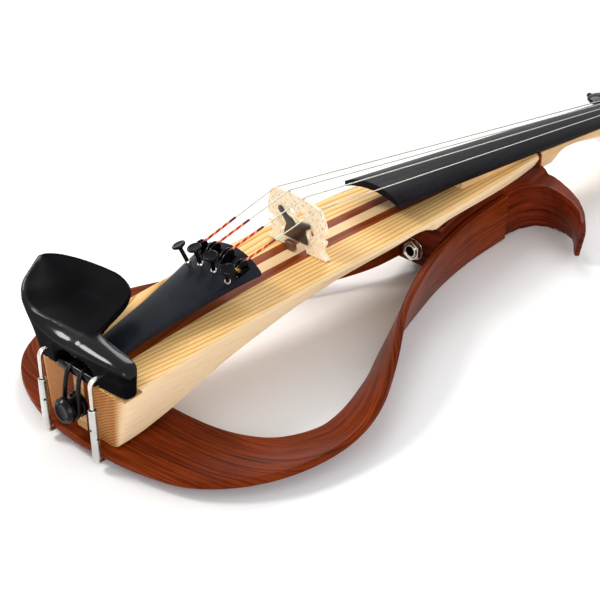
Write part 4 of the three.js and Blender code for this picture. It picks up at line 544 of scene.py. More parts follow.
def streaked_wood(name, output, scale, pale, dark, deepest, roughness, coat, specular=0.2):
    """Finished wood with dark streaks along the grain. The output is where its place is read
    from, and the scale's first number is along the grain."""
    material, tree = new_material(name)
    place = add_node(tree, "ShaderNodeTexCoord")
    long_grain = add_node(tree, "ShaderNodeMapping", {"Vector": (place, output), "Scale": scale})
    broad = add_node(tree, "ShaderNodeTexNoise", {
        "Vector": long_grain, "Scale": 1.0, "Detail": 4.0, "Roughness": 0.62, "Distortion": 0.35})
    streak = add_node(tree, "ShaderNodeMapRange", {
        "Value": (broad, "Fac"), "From Min": 0.42, "From Max": 0.66})
    # Pores are several times finer than the streaks
    pore_scale = (scale[0] * 3.5, scale[1] * 7, scale[2] * 7)
    fine_place = add_node(tree, "ShaderNodeMapping", {"Vector": (place, output), "Scale": pore_scale})
    fine = add_node(tree, "ShaderNodeTexNoise", {"Vector": fine_place, "Scale": 1.0, "Detail": 3.0})
    pores = add_node(tree, "ShaderNodeMapRange", {
        "Value": (fine, "Fac"), "From Min": 0.5, "From Max": 0.72, "To Max": 0.75})
    cloud = add_node(tree, "ShaderNodeTexNoise", {"Vector": (place, "Object"), "Scale": 22.0, "Detail": 2.0})
    tone = add_node(tree, "ShaderNodeMix", {0: streak, 6: linear(pale), 7: linear(dark)}, data_type="RGBA")
    pored = add_node(tree, "ShaderNodeMix", {0: pores, 6: (tone, 2), 7: linear(deepest)}, data_type="RGBA")
    shade = add_node(tree, "ShaderNodeMapRange", {
        "Value": (cloud, "Fac"), "From Min": 0.3, "From Max": 0.7, "To Min": 0.72, "To Max": 1.15})
    varied = add_node(tree, "ShaderNodeVectorMath", {0: (pored, 2), 1: shade}, operation="MULTIPLY")
    bump = add_node(tree, "ShaderNodeBump", {"Strength": 0.15, "Distance": 0.0002, "Height": (fine, "Fac")})
    finish_material(tree, varied, roughness, bump=bump, coat=coat, coat_roughness=0.16, specular=specular)
    return material


# The frame is stained red brown and rubbed to a low sheen, with dark streaks along the ribbon
frame_wood = streaked_wood("stained_frame_wood", "UV", (16, 620, 1), "#82330E", "#4A1706", "#1E0702",
                           0.3, 0.0, specular=0.035)
make_frame_band(frame_wood)

# Shoulder block: sawn and carved from one thick board of the frame's wood, with its treble side
# as a hook. Its edges are hand rounded, and its top rises in a cove to the body's raised edges.
BLOCK_TOP = -19.8
BLOCK_COVE = 7
COVE_CREST = 0.5
BLOCK_VOXEL = 0.8
HOOK_TIP_BEND = Vector((-2.8, 2.8, -2.6))
HOOK_TIP_ACROSS = (56, 74)
HOOK_TIP_DEPTH = (26, 45)
CARVED_SMOOTHING = 8
REFINED_SHARP = 38


def baked_mesh(draft):
    """The mesh that a draft and its modifiers give. The draft itself is removed."""
    mesh = bpy.data.meshes.new_from_object(draft.evaluated_get(bpy.context.evaluated_depsgraph_get()))
    bpy.data.objects.remove(draft)
    return mesh


def carve(draft, voxel):
    """Remeshes a draft at a voxel in mm and smooths it, as hand-carved wood is."""
    remesh = draft.modifiers.new("remesh", "REMESH")
    remesh.mode = "VOXEL"
    remesh.voxel_size = voxel / 1000
    draft.modifiers.new("relax", "SMOOTH").iterations = CARVED_SMOOTHING


def refine(node, material, body="instrument", bevel=0.4, segments=2, angle=25, voxel=0):
    """A finer copy of a CAD node: flat faces made whole and edges rounded by a bevel in mm, or
    the whole form carved at a voxel in mm."""
    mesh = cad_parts[node].data.copy()
    whole = bmesh.new()
    whole.from_mesh(mesh)
    bmesh.ops.remove_doubles(whole, verts=whole.verts, dist=1e-6)
    if not voxel:
        flat = math.radians(0.5)
        bmesh.ops.dissolve_limit(whole, angle_limit=flat, verts=whole.verts, edges=whole.edges)
    whole.to_mesh(mesh)
    whole.free()
    draft = add_object(node + "_draft", mesh)
    if voxel:
        carve(draft, voxel)
    else:
        rounding = draft.modifiers.new("rounding", "BEVEL")
        rounding.width = bevel / 1000
        rounding.segments = segments
        rounding.limit_method = "ANGLE"
        rounding.angle_limit = math.radians(angle)
    return stand_piece(baked_mesh(draft), node + "_finished", material, node, body, REFINED_SHARP)


def reshape(piece, place):
    """Moves each point of a piece to the place that is worked out from its own, in mm."""
    for vertex in piece.data.vertices:
        vertex.co = metres(place(*(vertex.co * 1000 - BRIDGE_FOOT)))


def block_place(x, y, z):
    """Where a point of the block's blank is carved to."""
    low = side_edges(x)[1]
    across = min(max((abs(y) - ACCENT_HALF_WIDTH) / (low - ACCENT_HALF_WIDTH), 0), 1)
    near = 1 - smoothstep(max(abs(y) - low, x - STOP_LENGTH), 0, BLOCK_COVE)
    lift = read_shares(EDGE_LIFT_ROWS, min(max(x, PLATE_REACH), STOP_LENGTH)) * across * near
    lift *= smoothstep(z, BLOCK_TOP - BLOCK_COVE, BLOCK_TOP - COVE_CREST)
    tip = smoothstep(-y, *HOOK_TIP_ACROSS) * smoothstep(-z, *HOOK_TIP_DEPTH)
    return Vector((x, y, z + lift)) + HOOK_TIP_BEND * tip


# Stained as the frame is, and painted darker than the frame's wood, a painted shade for the shaded block
# under the body. The streaks run level along the sawn faces.
block_wood_shaded = streaked_wood("stained_block_wood_shaded", "Object", (15, 22, 430), "#742A12", "#3C1007", "#180503",
                           0.3, 0.0, specular=0.045)
reshape(refine("shoulder_block", block_wood_shaded, voxel=BLOCK_VOXEL), block_place)

# Fingerboard: ebony, planed to an arch, oiled and burnished. The oil leaves it dull black, with
# fine grey pores along it.
fingerboard_ebony = streaked_wood("oiled_ebony_board", "Object", (18, 420, 420), "#121014", "#08070A",
                                  "#262029", 0.4, 0.0, specular=0.045)
refine("fingerboard", fingerboard_ebony, bevel=0.5, segments=3, angle=30)

# Wedge, neck and head: pale maple under a thin satin finish, with faint darker figure and the
# peg box open on top. The wedge widens and thins towards the neck joint, and the neck's
# underside sweeps up behind the heel.
WEDGE_START = 122
WEDGE_END = 186
WEDGE_REACH = 14
WEDGE_SPREADS = (1.56, 1.41)
WEDGE_UNDERSIDE = -4.8
WEDGE_GAP = 0.1
WEDGE_TIP_SHARE = 0.5
NECK_SLOPE = 0.085
HEEL_LIFT = 4.5
HEEL_LIFT_START = (STOP_LENGTH + 1, STOP_LENGTH + 9)
HEEL_LIFT_END = (255, 305)
HEEL_DEPTH = 11


def wedge_place(x, y, z):
    """Where a point of the wedge's blank is planed to. Its tip lies just over the body and keeps
    a share of the blank's thickness."""
    share = (x - WEDGE_START) / (WEDGE_END - WEDGE_START)
    spread = lerp(*WEDGE_SPREADS, share)
    thin = body_top(STOP_LENGTH - 2) + WEDGE_GAP + (z - WEDGE_UNDERSIDE) * WEDGE_TIP_SHARE
    return x + WEDGE_REACH * share, y * spread, lerp(z, thin, smoothstep(share, 0.5, 1))


def neck_place(x, y, z):
    """Where a point of the neck's blank is carved to: its underside rises, and its top stays."""
    under = body_top(STOP_LENGTH) - NECK_SLOPE * (x - STOP_LENGTH) - z
    share = smoothstep(x, *HEEL_LIFT_START) * (1 - smoothstep(x, *HEEL_LIFT_END))
    return x, y, z + HEEL_LIFT * share * smoothstep(under, 0, HEEL_DEPTH)


neck_maple = streaked_wood("satin_maple", "Object", (12, 160, 160), "#E6C08C", "#D7A86E", "#C2905A",
                           0.36, 0.1)
reshape(refine("fingerboard_wedge", neck_maple, bevel=0.3, angle=30), wedge_place)
reshape(refine("neck", neck_maple, bevel=0.7, segments=3, angle=30), neck_place)

# Nut and saddle: small blocks of ebony, filed to shape, glued on and polished, nearly black
# with a soft bright highlight
polished_ebony = streaked_wood("polished_ebony", "Object", (25, 500, 500), "#0B0A0D", "#060507", "#141216",
                               0.16, 0.0, specular=0.16)
refine("nut", polished_ebony, bevel=0.35, segments=3)
refine("saddle", polished_ebony, bevel=0.8, segments=4)

# Joint strip: a thin sheet of rosewood glued between body and neck, seen as one dark brown line
joint_rosewood = streaked_wood("rosewood_veneer", "Object", (60, 400, 60), "#4A1D12", "#2E100A", "#1C0906",
                               0.4, 0.1)
refine("neck_joint_strip", joint_rosewood, bevel=0.12)

# Pegs: turned and polished ebony with a flattened thumb piece, each held in the head by its
# taper alone
for string in "gdae":
    refine(f"peg_{string}", polished_ebony, body=f"peg_{string}", bevel=0.4, segments=3)


def rounded(corners, bend, steps=8):
    """A path with each inner corner replaced by a bend that starts at most bend mm before it."""
    corners = [Vector(corner) for corner in corners]
    path = [corners[0]]
    for before, corner, after in zip(corners, corners[1:], corners[2:]):
        reach = min(bend, (corner - before).length / 2, (after - corner).length / 2)
        start = corner + (before - corner).normalized() * reach
        end = corner + (after - corner).normalized() * reach
        for step in range(steps + 1):
            t = step / steps
            path.append(start.lerp(corner, t).lerp(corner.lerp(end, t), t))
    path.append(corners[-1])
    return path


def sweep(path, radius, sides=16):
    """A round section along a path. The map gives metres along it and the share round it."""
    points, uvs, travelled = [], [], 0
    along = (path[1] - path[0]).normalized()
    side = along.orthogonal().normalized()
    for index, centre in enumerate(path):
        before, after = path[max(index - 1, 0)], path[min(index + 1, len(path) - 1)]
        turned = (after - before).normalized()
        side = (side - turned * side.dot(turned)).normalized()
        up = turned.cross(side)
        travelled += (centre - before).length
        thick = radius(index) if callable(radius) else radius
        for step in range(sides + 1):
            angle = step / sides * math.tau
            points.append(centre + (side * math.cos(angle) + up * math.sin(angle)) * thick)
            uvs.append((travelled / 1000, step / sides))
    return points, skin_faces(len(path), sides + 1, closed=False), uvs


def plain_material(name, colour, mottled, roughness, metallic=0.0, coat=0.0, grain=900.0, grain_bump=0.06,
                   specular=0.5):
    """A moulded, cast or plated finish: slow changes of shade, and a fine grain in its relief."""
    material, tree = new_material(name)
    place = add_node(tree, "ShaderNodeTexCoord")
    cloud = add_node(tree, "ShaderNodeTexNoise", {"Vector": (place, "Object"), "Scale": 90.0, "Detail": 3.0})
    fine = add_node(tree, "ShaderNodeTexNoise", {"Vector": (place, "Object"), "Scale": grain, "Detail": 2.0})
    shade = add_node(tree, "ShaderNodeMapRange", {
        "Value": (cloud, "Fac"), "From Min": 0.35, "From Max": 0.65})
    tone = add_node(tree, "ShaderNodeMix", {0: shade, 6: linear(colour), 7: linear(mottled)},
                    data_type="RGBA")
    matt = add_node(tree, "ShaderNodeMapRange", {
        "Value": (fine, "Fac"), "From Min": 0.3, "From Max": 0.7,
        "To Min": roughness * 0.85, "To Max": roughness * 1.15})
    bump = add_node(tree, "ShaderNodeBump", {
        "Strength": grain_bump, "Distance": 0.0002, "Height": (fine, "Fac")})
    finish_material(tree, (tone, 2), matt, bump=bump, metallic=metallic, coat=coat, specular=specular)
    return material


# Bridge: bare maple cut on the quarter, so its pale face shows small tan flecks. It is thin at
# the top and thick at the feet, which stand on the body, and its edges are knife trimmed.
BRIDGE_HALF_WIDTH = 22.4
BRIDGE_HEIGHT = 35.2
BRIDGE_TREBLE_DROP = 2.6
BRIDGE_FOOT_THICKNESS = 4.6
BRIDGE_TOP_THICKNESS = 1.7
BRIDGE_BLANK = 2.0
BRIDGE_EDGE = 0.35
BRIDGE_OUTLINE = (
    (0.36, 0.008), (1, 0.008), (0.985, 0.06), (0.86, 0.115), (0.865, 0.2), (0.94, 0.3), (0.945, 0.36),
    (0.8, 0.375), (0.8, 0.43), (0.96, 0.47), (0.995, 0.58), (0.96, 0.72), (0.9, 0.82), (0.86, 0.91),
    (0.62, 0.965), (0.3, 0.995), (0, 1),
)
BRIDGE_LEG_ARCH = ((0.34, 0.05), (0.28, 0.11), (0.16, 0.15), (0, 0.165))
KIDNEY = ((0.38, 0.34), (0.46, 0.28), (0.56, 0.29), (0.62, 0.36), (0.6, 0.44), (0.52, 0.48), (0.42, 0.44))
HEART = (
    (0, 0.5), (0.12, 0.58), (0.26, 0.6), (0.31, 0.68), (0.24, 0.74), (0.13, 0.71), (0.05, 0.64), (0, 0.63),
)


def smooth_loop(corners, sharp=(), steps=5):
    """A closed outline rounded through its corners. The sharp ones keep their point."""
    count = len(corners)
    loop = []
    for index in range(count):
        before, start = Vector(corners[index - 1]), Vector(corners[index])
        end, after = Vector(corners[(index + 1) % count]), Vector(corners[(index + 2) % count])
        leave = Vector((0, 0)) if index in sharp else (end - before) / 2
        arrive = Vector((0, 0)) if (index + 1) % count in sharp else (after - start) / 2
        loop += [hermite(step / steps, start, leave, end, arrive) for step in range(steps)]
    return loop


def bridge_place(point):
    """A point given in shares of half width and height, with the top lower on the treble side."""
    across, up = point
    return across * BRIDGE_HALF_WIDTH, up * BRIDGE_HEIGHT + BRIDGE_TREBLE_DROP * up * (across - 1) / 2


def mirror(points):
    """Points mirrored across the middle, in reverse order."""
    return [(-across, up) for across, up in reversed(points)]


def flat_shape(name, loops, bevel, thickness):
    """A plate cut to closed outlines, as a mesh that stands on the curve's own plane."""
    curve = bpy.data.curves.new(name, "CURVE")
    curve.dimensions = "2D"
    curve.fill_mode = "BOTH"
    curve.extrude = thickness / 2000 - bevel / 1000
    curve.bevel_depth = bevel / 1000
    curve.bevel_resolution = 2
    curve.offset = -bevel / 1000
    for loop in loops:
        spline = curve.splines.new("POLY")
        spline.points.add(len(loop) - 1)
        spline.use_cyclic_u = True
        for place, point in zip(spline.points, loop):
            place.co = (point[0] / 1000, point[1] / 1000, 0, 1)
    return baked_mesh(add_object(name, curve))


def make_bridge(material):
    """A plate cut to the bridge's outline and openings, then planed thinner towards its top."""
    arch = BRIDGE_LEG_ARCH
    outline = [*BRIDGE_OUTLINE, *mirror(BRIDGE_OUTLINE)[1:], *reversed(mirror(arch)), *arch[-2:0:-1]]
    count = len(BRIDGE_OUTLINE)
    sharp = (0, 1, 2, count * 2 - 4, count * 2 - 3, count * 2 - 2)
    heart = [*HEART, *mirror(HEART)[1:-1]]
    loops = []
    for corners, kept_sharp in ((outline, sharp), (KIDNEY, ()), (mirror(KIDNEY), ()), (heart, (0,))):
        loops.append([bridge_place(point) for point in smooth_loop(corners, kept_sharp)])
    mesh = flat_shape("bridge_plate", loops, BRIDGE_EDGE, BRIDGE_BLANK)
    for vertex in mesh.vertices:
        y, z, deep = vertex.co * 1000
        thickness = lerp(BRIDGE_FOOT_THICKNESS, BRIDGE_TOP_THICKNESS, min(max(z / BRIDGE_HEIGHT, 0), 1))
        vertex.co = metres(((deep / BRIDGE_BLANK + 0.5) * thickness - BRIDGE_FOOT_THICKNESS / 2, y, z))
    return stand_piece(mesh, "bridge_carved", material, "bridge")


bridge_maple, tree = new_material("flecked_bridge_maple")
place = add_node(tree, "ShaderNodeTexCoord")
fleck_place = add_node(tree, "ShaderNodeMapping", {"Vector": (place, "Object"), "Scale": (0.8, 1.0, 0.45)})
# One fleck is about 1 mm across
flecks = add_node(tree, "ShaderNodeTexNoise", {"Vector": fleck_place, "Scale": 1000.0, "Detail": 1.0})
fleck_share = add_node(tree, "ShaderNodeMapRange", {
    "Value": (flecks, "Fac"), "From Min": 0.58, "From Max": 0.68})
cloud = add_node(tree, "ShaderNodeTexNoise", {"Vector": (place, "Object"), "Scale": 60.0, "Detail": 2.0})
wood = add_node(tree, "ShaderNodeMix", {0: (cloud, "Fac"), 6: linear("#F8ECD4"), 7: linear("#EFDDBB")},
                data_type="RGBA")
flecked = add_node(tree, "ShaderNodeMix", {0: fleck_share, 6: (wood, 2), 7: linear("#D2B183")},
                   data_type="RGBA")
fleck_bump = add_node(tree, "ShaderNodeBump", {
    "Strength": 0.1, "Distance": 0.0001, "Height": (flecks, "Fac")})
finish_material(tree, (flecked, 2), 0.5, bump=fleck_bump)
make_bridge(bridge_maple)

# Pickup: a plate of dark brown moulded plastic with a soft gloss, glued to the bridge's face,
# and a small connector of lighter brown plastic between the feet. The plate reaches wider than
# the model's.
PICKUP_SPREAD = 1.3
PICKUP_SHIFT = -0.9
pickup_black = plain_material("moulded_pickup_plastic", "#241A18", "#140E0E", 0.32, coat=0.3)
connector_brown = plain_material("moulded_connector_plastic", "#6B4630", "#4A2E20", 0.4, coat=0.1)
reshape(refine("bridge_pickup", pickup_black, bevel=0.35, segments=3),
        lambda x, y, z: (x, y * PICKUP_SPREAD + PICKUP_SHIFT, z))
refine("pickup_connector", connector_brown, bevel=0.5, segments=3)

# Pickup lead: a thin wire in extruded black vinyl, dull and even, from the connector through
# the body to the jack
LEAD_BENDS = (
    (-4.3, 1.7, 0), (-4.3, 1.7, -9.2), (100, 0, -9.2), (108, 0, -13.2), (108, 0, -28.1), (108, -0.9, -32.1),
    (108, -2.9, -32.1),
)
LEAD_BEND = 4
LEAD_RADIUS = 1
lead_vinyl = plain_material("black_vinyl", "#17161A", "#0E0D10", 0.45, grain=1600.0, specular=0.2)
points, faces = sweep(rounded(LEAD_BENDS, LEAD_BEND), LEAD_RADIUS, 20)[:2]
make_piece("pickup_lead_wire", points, faces, lead_vinyl, "pickup_lead", "black_plastic")

# Tailpiece: one moulding of dark composite, arched, hollow under its wide end, with a crisp
# lip along both edges, and a slot and a drilled hole for each tuner. Each row is a place along
# the body, then the half width, the edge's height and the edge's depth.
TAILPIECE_ROWS = (
    (-150, 7.2, -3.9, 2), (-149.4, 8.4, -3.7, 2.6), (-147.5, 9.2, -3.2, 3), (-140, 9.6, -2.3, 3),
    (-130, 10.2, -0.4, 3), (-120, 11, 1.8, 3), (-110, 12, 3.7, 3), (-100, 13.4, 5.5, 2.9),
    (-90, 15, 7.4, 2.8), (-80, 16.5, 9.4, 2.7), (-70, 18.3, 11.4, 2.6), (-60, 20.2, 13.1, 2.6),
    (-51, 22.4, 14.5, 2.6),
)
TAILPIECE_END = TAILPIECE_ROWS[-1][0]
TAILPIECE_TIP_PLACES = (-150, -149.8, -149.4, -148.8, -148, -147)
TAILPIECE_STEP = 2.5
TAILPIECE_EVEN_START = -145
TAILPIECE_EVEN_PLACES = 38
TAILPIECE_TOP_STEPS = 20
TAILPIECE_UNDER_STEPS = 12
TAILPIECE_ARCH = 42
TAILPIECE_HOLLOW = 3.2
LEAST_HOLLOW = 0.08
HOLLOW_START = -100
TAILPIECE_BOW = 1.6
BOW_START = -66
TAILPIECE_LIP = 0.45
TAILPIECE_EDGE = 0.3
SLOT_HEIGHT = 15
LEVER_X = -58.5
LEVER_SLOT = (9, 4.2, 30)
TUNER_X = -69
TUNER_CROWN = 16.64
TUNER_SLOPE = 0.2657
TUNER_HOLE_RADIUS = 1.4
TUNER_HOLE_DEPTH = 10
TUNER_HOLE_CLEARANCE = 2
TUNER_PLACES = {"g": 15.6, "d": 5.2, "a": -5.2, "e": -15.6}


def cut_mesh(mesh, cutter_meshes):
    """A mesh with others cut out of it."""
    blank = add_object("blank", mesh)
    cutters = [add_object("cutter", cutter_mesh) for cutter_mesh in cutter_meshes]
    for cutter in cutters:
        cutting = blank.modifiers.new("cut", "BOOLEAN")
        cutting.object = cutter
        cutting.solver = "EXACT"
    finished = baked_mesh(blank)
    for cutter in cutters:
        bpy.data.objects.remove(cutter)
    return finished


def box_mesh(centre, size):
    """A plain block to cut with."""
    x, y, z = centre
    length, width, height = size
    corners = [(x + length / 2 * along, y + width / 2 * across, z + height / 2 * up)
               for up in (-1, 1) for along, across in ((-1, -1), (1, -1), (1, 1), (-1, 1))]
    return make_mesh("box", corners, skin_faces(2, 4))


def read_rows(rows, place):
    """Every value of rows of (place, value, value, ...), each on its own smooth line."""
    return [read_shares([(row[0], row[column]) for row in rows], place) for column in range(1, len(rows[0]))]


def tailpiece_top(x, y):
    """The height of the tailpiece's arched top."""
    half, edge, _ = read_rows(TAILPIECE_ROWS, x)
    drop = math.sqrt(TAILPIECE_ARCH ** 2 - half ** 2)
    return edge + math.sqrt(TAILPIECE_ARCH ** 2 - min(abs(y), half) ** 2) - drop


def tuner_seat(y):
    """Where a tuner's screw stands on the tailpiece, and the way it points."""
    crown = TUNER_CROWN - TAILPIECE_ARCH + math.sqrt(TAILPIECE_ARCH ** 2 - y ** 2)
    return Vector((TUNER_X, y, crown)), Vector((-TUNER_SLOPE, y / TAILPIECE_ARCH, 1)).normalized()


def make_tailpiece(material):
    """The moulding, as rings round its section, cut through where the levers and screws stand."""
    rows = []
    even = [TAILPIECE_STEP * step + TAILPIECE_EVEN_START for step in range(TAILPIECE_EVEN_PLACES)]
    for x in (*TAILPIECE_TIP_PLACES, *even, TAILPIECE_END):
        half, edge, deep = read_rows(TAILPIECE_ROWS, x)
        bow = TAILPIECE_BOW * smoothstep(x, BOW_START, TAILPIECE_END)
        hollow = TAILPIECE_HOLLOW * lerp(LEAST_HOLLOW, 1, smoothstep(x, HOLLOW_START, TAILPIECE_END))
        row = []
        for step in range(TAILPIECE_TOP_STEPS + 1):
            across = 1 - 2 * step / TAILPIECE_TOP_STEPS
            y = (half - TAILPIECE_LIP) * across
            row.append((x + bow * (1 - across ** 2), y, tailpiece_top(x, y)))
        row += [(x, -half, edge - TAILPIECE_EDGE), (x, -half, edge - deep + TAILPIECE_EDGE)]
        for step in range(TAILPIECE_UNDER_STEPS + 1):
            across = 2 * step / TAILPIECE_UNDER_STEPS - 1
            arched = 1 - across ** 2
            row.append((x + bow * arched, (half - TAILPIECE_EDGE) * across, edge - deep + hollow * arched))
        row += [(x, half, edge - deep + TAILPIECE_EDGE), (x, half, edge - TAILPIECE_EDGE)]
        rows.append(row)
    cutters = []
    for y in TUNER_PLACES.values():
        seat, axis = tuner_seat(y)
        drill = [seat - axis * TUNER_HOLE_DEPTH, seat + axis * TUNER_HOLE_CLEARANCE]
        cutters += [box_mesh((LEVER_X, y, SLOT_HEIGHT), LEVER_SLOT),
                    make_mesh("tuner_hole", *sweep(drill, TUNER_HOLE_RADIUS, 24)[:2])]
    moulding = cut_mesh(make_mesh("tailpiece_moulding", *skin(rows)), cutters)
    return stand_piece(moulding, "tailpiece_moulding", material, "tailpiece", angle=28)


# Composite: a satin blue black that mirrors softly, with a very fine moulded grain
composite = plain_material("satin_composite", "#191B24", "#11131A", 0.32, grain=2200.0, grain_bump=0.05,
                           specular=0.14)
make_tailpiece(composite)

# Fine tuners: blackened brass screws with turned, dished heads, each in a plated collar. A
# screw pushes down the tail of its lever, whose forked hook holds the string's ball. The
# E string's lever has a brass pin.
STEM_PROFILE = ((0.01, -4.4), (1.15, -4.4), (1.15, 8.3), (0.01, 8.3))
COLLAR_PROFILE = ((1.2, -0.6), (1.85, -0.6), (1.9, 0.1), (1.6, 0.6), (1.2, 0.65))
HEAD_PROFILE = (
    (0.01, 8.4), (1.5, 8.4), (1.7, 8.8), (2.9, 9.3), (3.75, 9.9), (4, 10.4), (4, 10.8), (3.8, 11.1),
    (3.4, 11.2), (3.1, 11), (2.9, 10.75), (1.2, 10.6), (0.01, 10.55),
)
LEVER_TAIL = (
    (-11.8, -7.3), (0.25, -7.3), (2.5, -4), (3, 1.8), (3.2, 3.4), (-2, 3.4), (-1.75, -2.6), (-3.3, -5.9),
    (-11.8, -6.2),
)
LEVER_HOOK = (
    (3, 1.6), (3.4, 4.4), (2.7, 6), (0.9, 6.7), (-1.4, 6.4), (-4, 4.9), (-6, 2.9), (-6.6, 1.5), (-5.9, 1),
    (-4.2, 2), (-2.3, 2.6), (-0.6, 1.8),
)
LEVER_PIVOT_HEIGHT = 8.8
LEVER_WIDTH = 3.2
LEVER_EDGE = 0.2
HOOK_WIDTH = 0.9
PIN_PROFILE = ((0.01, -2.6), (1, -2.6), (1.15, -2.3), (1.15, 2.3), (1, 2.6), (0.01, 2.6))
PIN_BACK = 4.4
PIN_RISE = 2.9
# Blackened brass shines through its dark coat a little, and nickel and brass are polished bright
black_metal = plain_material("blackened_metal", "#0E0E12", "#070709", 0.2, metallic=0.5, specular=0.2)
bright_metal = plain_material("nickel_plate", "#E6E2DA", "#CFCAC0", 0.16, metallic=1.0)
brass = plain_material("polished_brass", "#D9A74C", "#B98536", 0.22, metallic=1.0)


def turned_mesh(name, profile, foot, axis, sides=32):
    """A lathe-turned form: rows of (radius, height) along an axis from its foot. A profile that
    starts away from the axis leaves the form open through its middle."""
    axis = Vector(axis).normalized()
    side = axis.orthogonal().normalized()
    up = axis.cross(side)
    points = []
    for radius, height in profile:
        for step in range(sides):
            turn = step / sides * math.tau
            outwards = side * math.cos(turn) + up * math.sin(turn)
            points.append(Vector(foot) + axis * height + outwards * radius)
    faces = skin_faces(len(profile), sides, capped=profile[0][0] < 0.1)
    if profile[0][0] >= 0.1:
        last = (len(profile) - 1) * sides
        faces += [(i, (i + 1) % sides, last + (i + 1) % sides, last + i) for i in range(sides)]
    return make_mesh(name, points, faces)


def joined_mesh(meshes):
    """One mesh of several."""
    whole = bmesh.new()
    for mesh in meshes:
        whole.from_mesh(mesh)
    joined = bpy.data.meshes.new("joined")
    whole.to_mesh(joined)
    whole.free()
    return joined


def lever_plate(outline, place, width, offset):
    """A plate of a lever, which stands upright along the body at an offset to one side."""
    mesh = flat_shape("lever_plate", [outline], LEVER_EDGE, width)
    for vertex in mesh.vertices:
        along, up, deep = vertex.co * 1000
        vertex.co = metres((place[0] + along, place[1] + deep + offset, place[2] + up))
    return mesh


for string, y in TUNER_PLACES.items():
    seat, axis = tuner_seat(y)
    for part, profile, sides in (("stem", STEM_PROFILE, 32), ("head", HEAD_PROFILE, 40)):
        node = f"tuner_{part}_{string}"
        stand_piece(turned_mesh(part, profile, seat, axis, sides), f"{node}_turned", black_metal, node,
                    node)
    stand_piece(turned_mesh("collar", COLLAR_PROFILE, seat, axis), f"tuner_collar_{string}", bright_metal,
                None)
    node = f"tuner_lever_{string}"
    pivot = (LEVER_X, y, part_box(node)[0].z * 1000 - BRIDGE_FOOT.z + LEVER_PIVOT_HEIGHT)
    plates = [lever_plate(LEVER_TAIL, pivot, LEVER_WIDTH, 0)]
    plates += [lever_plate(LEVER_HOOK, pivot, HOOK_WIDTH, side * (LEVER_WIDTH - HOOK_WIDTH) / 2)
               for side in (1, -1)]
    stand_piece(joined_mesh(plates), f"{node}_forked", black_metal, node, node)
pin_place = (LEVER_X - PIN_BACK, TUNER_PLACES["e"], pivot[2] + PIN_RISE)
stand_piece(turned_mesh("pin", PIN_PROFILE, pin_place, (0, 1, 0), 24), "tuner_pin_e", brass, None,
            "tuner_lever_e")

# Strings: a steel core wound with flat wire, which leaves a fine ribbed surface. Silk thread is
# wrapped round both ends, and a soft sleeve is threaded on the E string beside the bridge.
STRING_PATHS = {
    "g": ((-58.5, 15.6, 20.34), (-1.45, 16.95, 32.85), (326, 8.25, -12.75), (346.05, 4.2, -23.12)),
    "d": ((-58.5, 5.2, 23.02), (-1.45, 5.65, 34.83), (326, 2.75, -12.04), (369.99, 1.6, -26.35)),
    "a": ((-58.5, -5.2, 23.02), (-1.45, -5.65, 34.1), (326, -2.75, -12.07), (382.03, -1.6, -27.98)),
    "e": ((-58.5, -15.6, 20.34), (-1.45, -16.95, 30.81), (326, -8.25, -12.84), (358.02, -3.6, -24.93)),
}
STRING_RADII = {"g": 0.42, "d": 0.4, "a": 0.38, "e": 0.34}
STRING_BEND = 1.5
SILK_START = 1.5
SILK_LENGTHS = {"g": 26.5, "d": 26.5, "a": 26.5, "e": 24.5}
SILK_END = 5
PEG_SILK_REACH = (24, 1)
SILK_THICKNESS = 0.28
SLEEVE_START = 24.6
SLEEVE_LENGTH = 5.5
SLEEVE_RADIUS = 1.0


def spiral_material(name, pitch, colours, roughness, metallic, depth):
    """Thread or flat wire laid round a core: a spiral in colour and in relief."""
    material, tree = new_material(name)
    place = add_node(tree, "ShaderNodeTexCoord")
    axes = add_node(tree, "ShaderNodeSeparateXYZ", {0: (place, "UV")})
    turns = add_node(tree, "ShaderNodeMath", {0: (axes, "X"), 1: pitch / 1000}, operation="DIVIDE")
    spiral = add_node(tree, "ShaderNodeMath", {0: turns, 1: (axes, "Y")}, operation="ADD")
    wrap = add_node(tree, "ShaderNodeMath", {0: spiral}, operation="FRACT")
    colour = add_node(tree, "ShaderNodeValToRGB", {"Fac": wrap}, colours)
    centred = add_node(tree, "ShaderNodeMath", {0: wrap, 1: 0.5}, operation="SUBTRACT")
    crest = add_node(tree, "ShaderNodeMath", {0: centred}, operation="ABSOLUTE")
    bump = add_node(tree, "ShaderNodeBump", {"Strength": depth, "Distance": 0.0002, "Height": crest},
                    invert=True)
    finish_material(tree, colour, roughness, bump=bump, metallic=metallic)
    return material


# Flat steel wire, polished, with a fine shadow between its turns. The wire is drawn coarser
# than the real one, so that it shows.
wound_steel = spiral_material("flat_wound_steel", 0.35, ((0, "#8F8C86"), (0.3, "#D8D5CE"), (1, "#C9C6BE")),
                              0.28, 1.0, 0.4)
# Matt silk: bright red with a pale thread laid in it, and dark red where the wrap ends. The dark red is
# painted darker in the grooves between its turns and lighter on their crests, a painted shade
RED_THREADS = ((0, "#B01A1C"), (0.5, "#BC2420"), (0.56, "#E58A55"), (0.86, "#E79C66"), (0.92, "#B3221C"))
red_silk = spiral_material("red_silk_thread", 5.5, RED_THREADS, 0.62, 0.0, 0.3)
dark_silk = spiral_material("dark_silk_thread", 0.5, ((0, "#4E1018"), (0.5, "#7A1A24"), (1, "#5E1219")),
                            0.62, 0.0, 0.4)
# Soft moulded rubber, pale green and matt
sleeve_green = plain_material("pale_green_sleeve", "#C9D6B4", "#B5C49E", 0.45, grain=1500.0)


def along_path(path, start, end, steps=12):
    """The stretch of a straight-sided path between two distances from its start."""
    path = [Vector(point) for point in path]
    lengths = [(b - a).length for a, b in zip(path, path[1:])]
    stretch = []
    for step in range(steps + 1):
        want = lerp(start, end, step / steps)
        index = 0
        while index < len(lengths) - 1 and want > lengths[index]:
            want -= lengths[index]
            index += 1
        stretch.append(path[index].lerp(path[index + 1], want / lengths[index]))
    return stretch


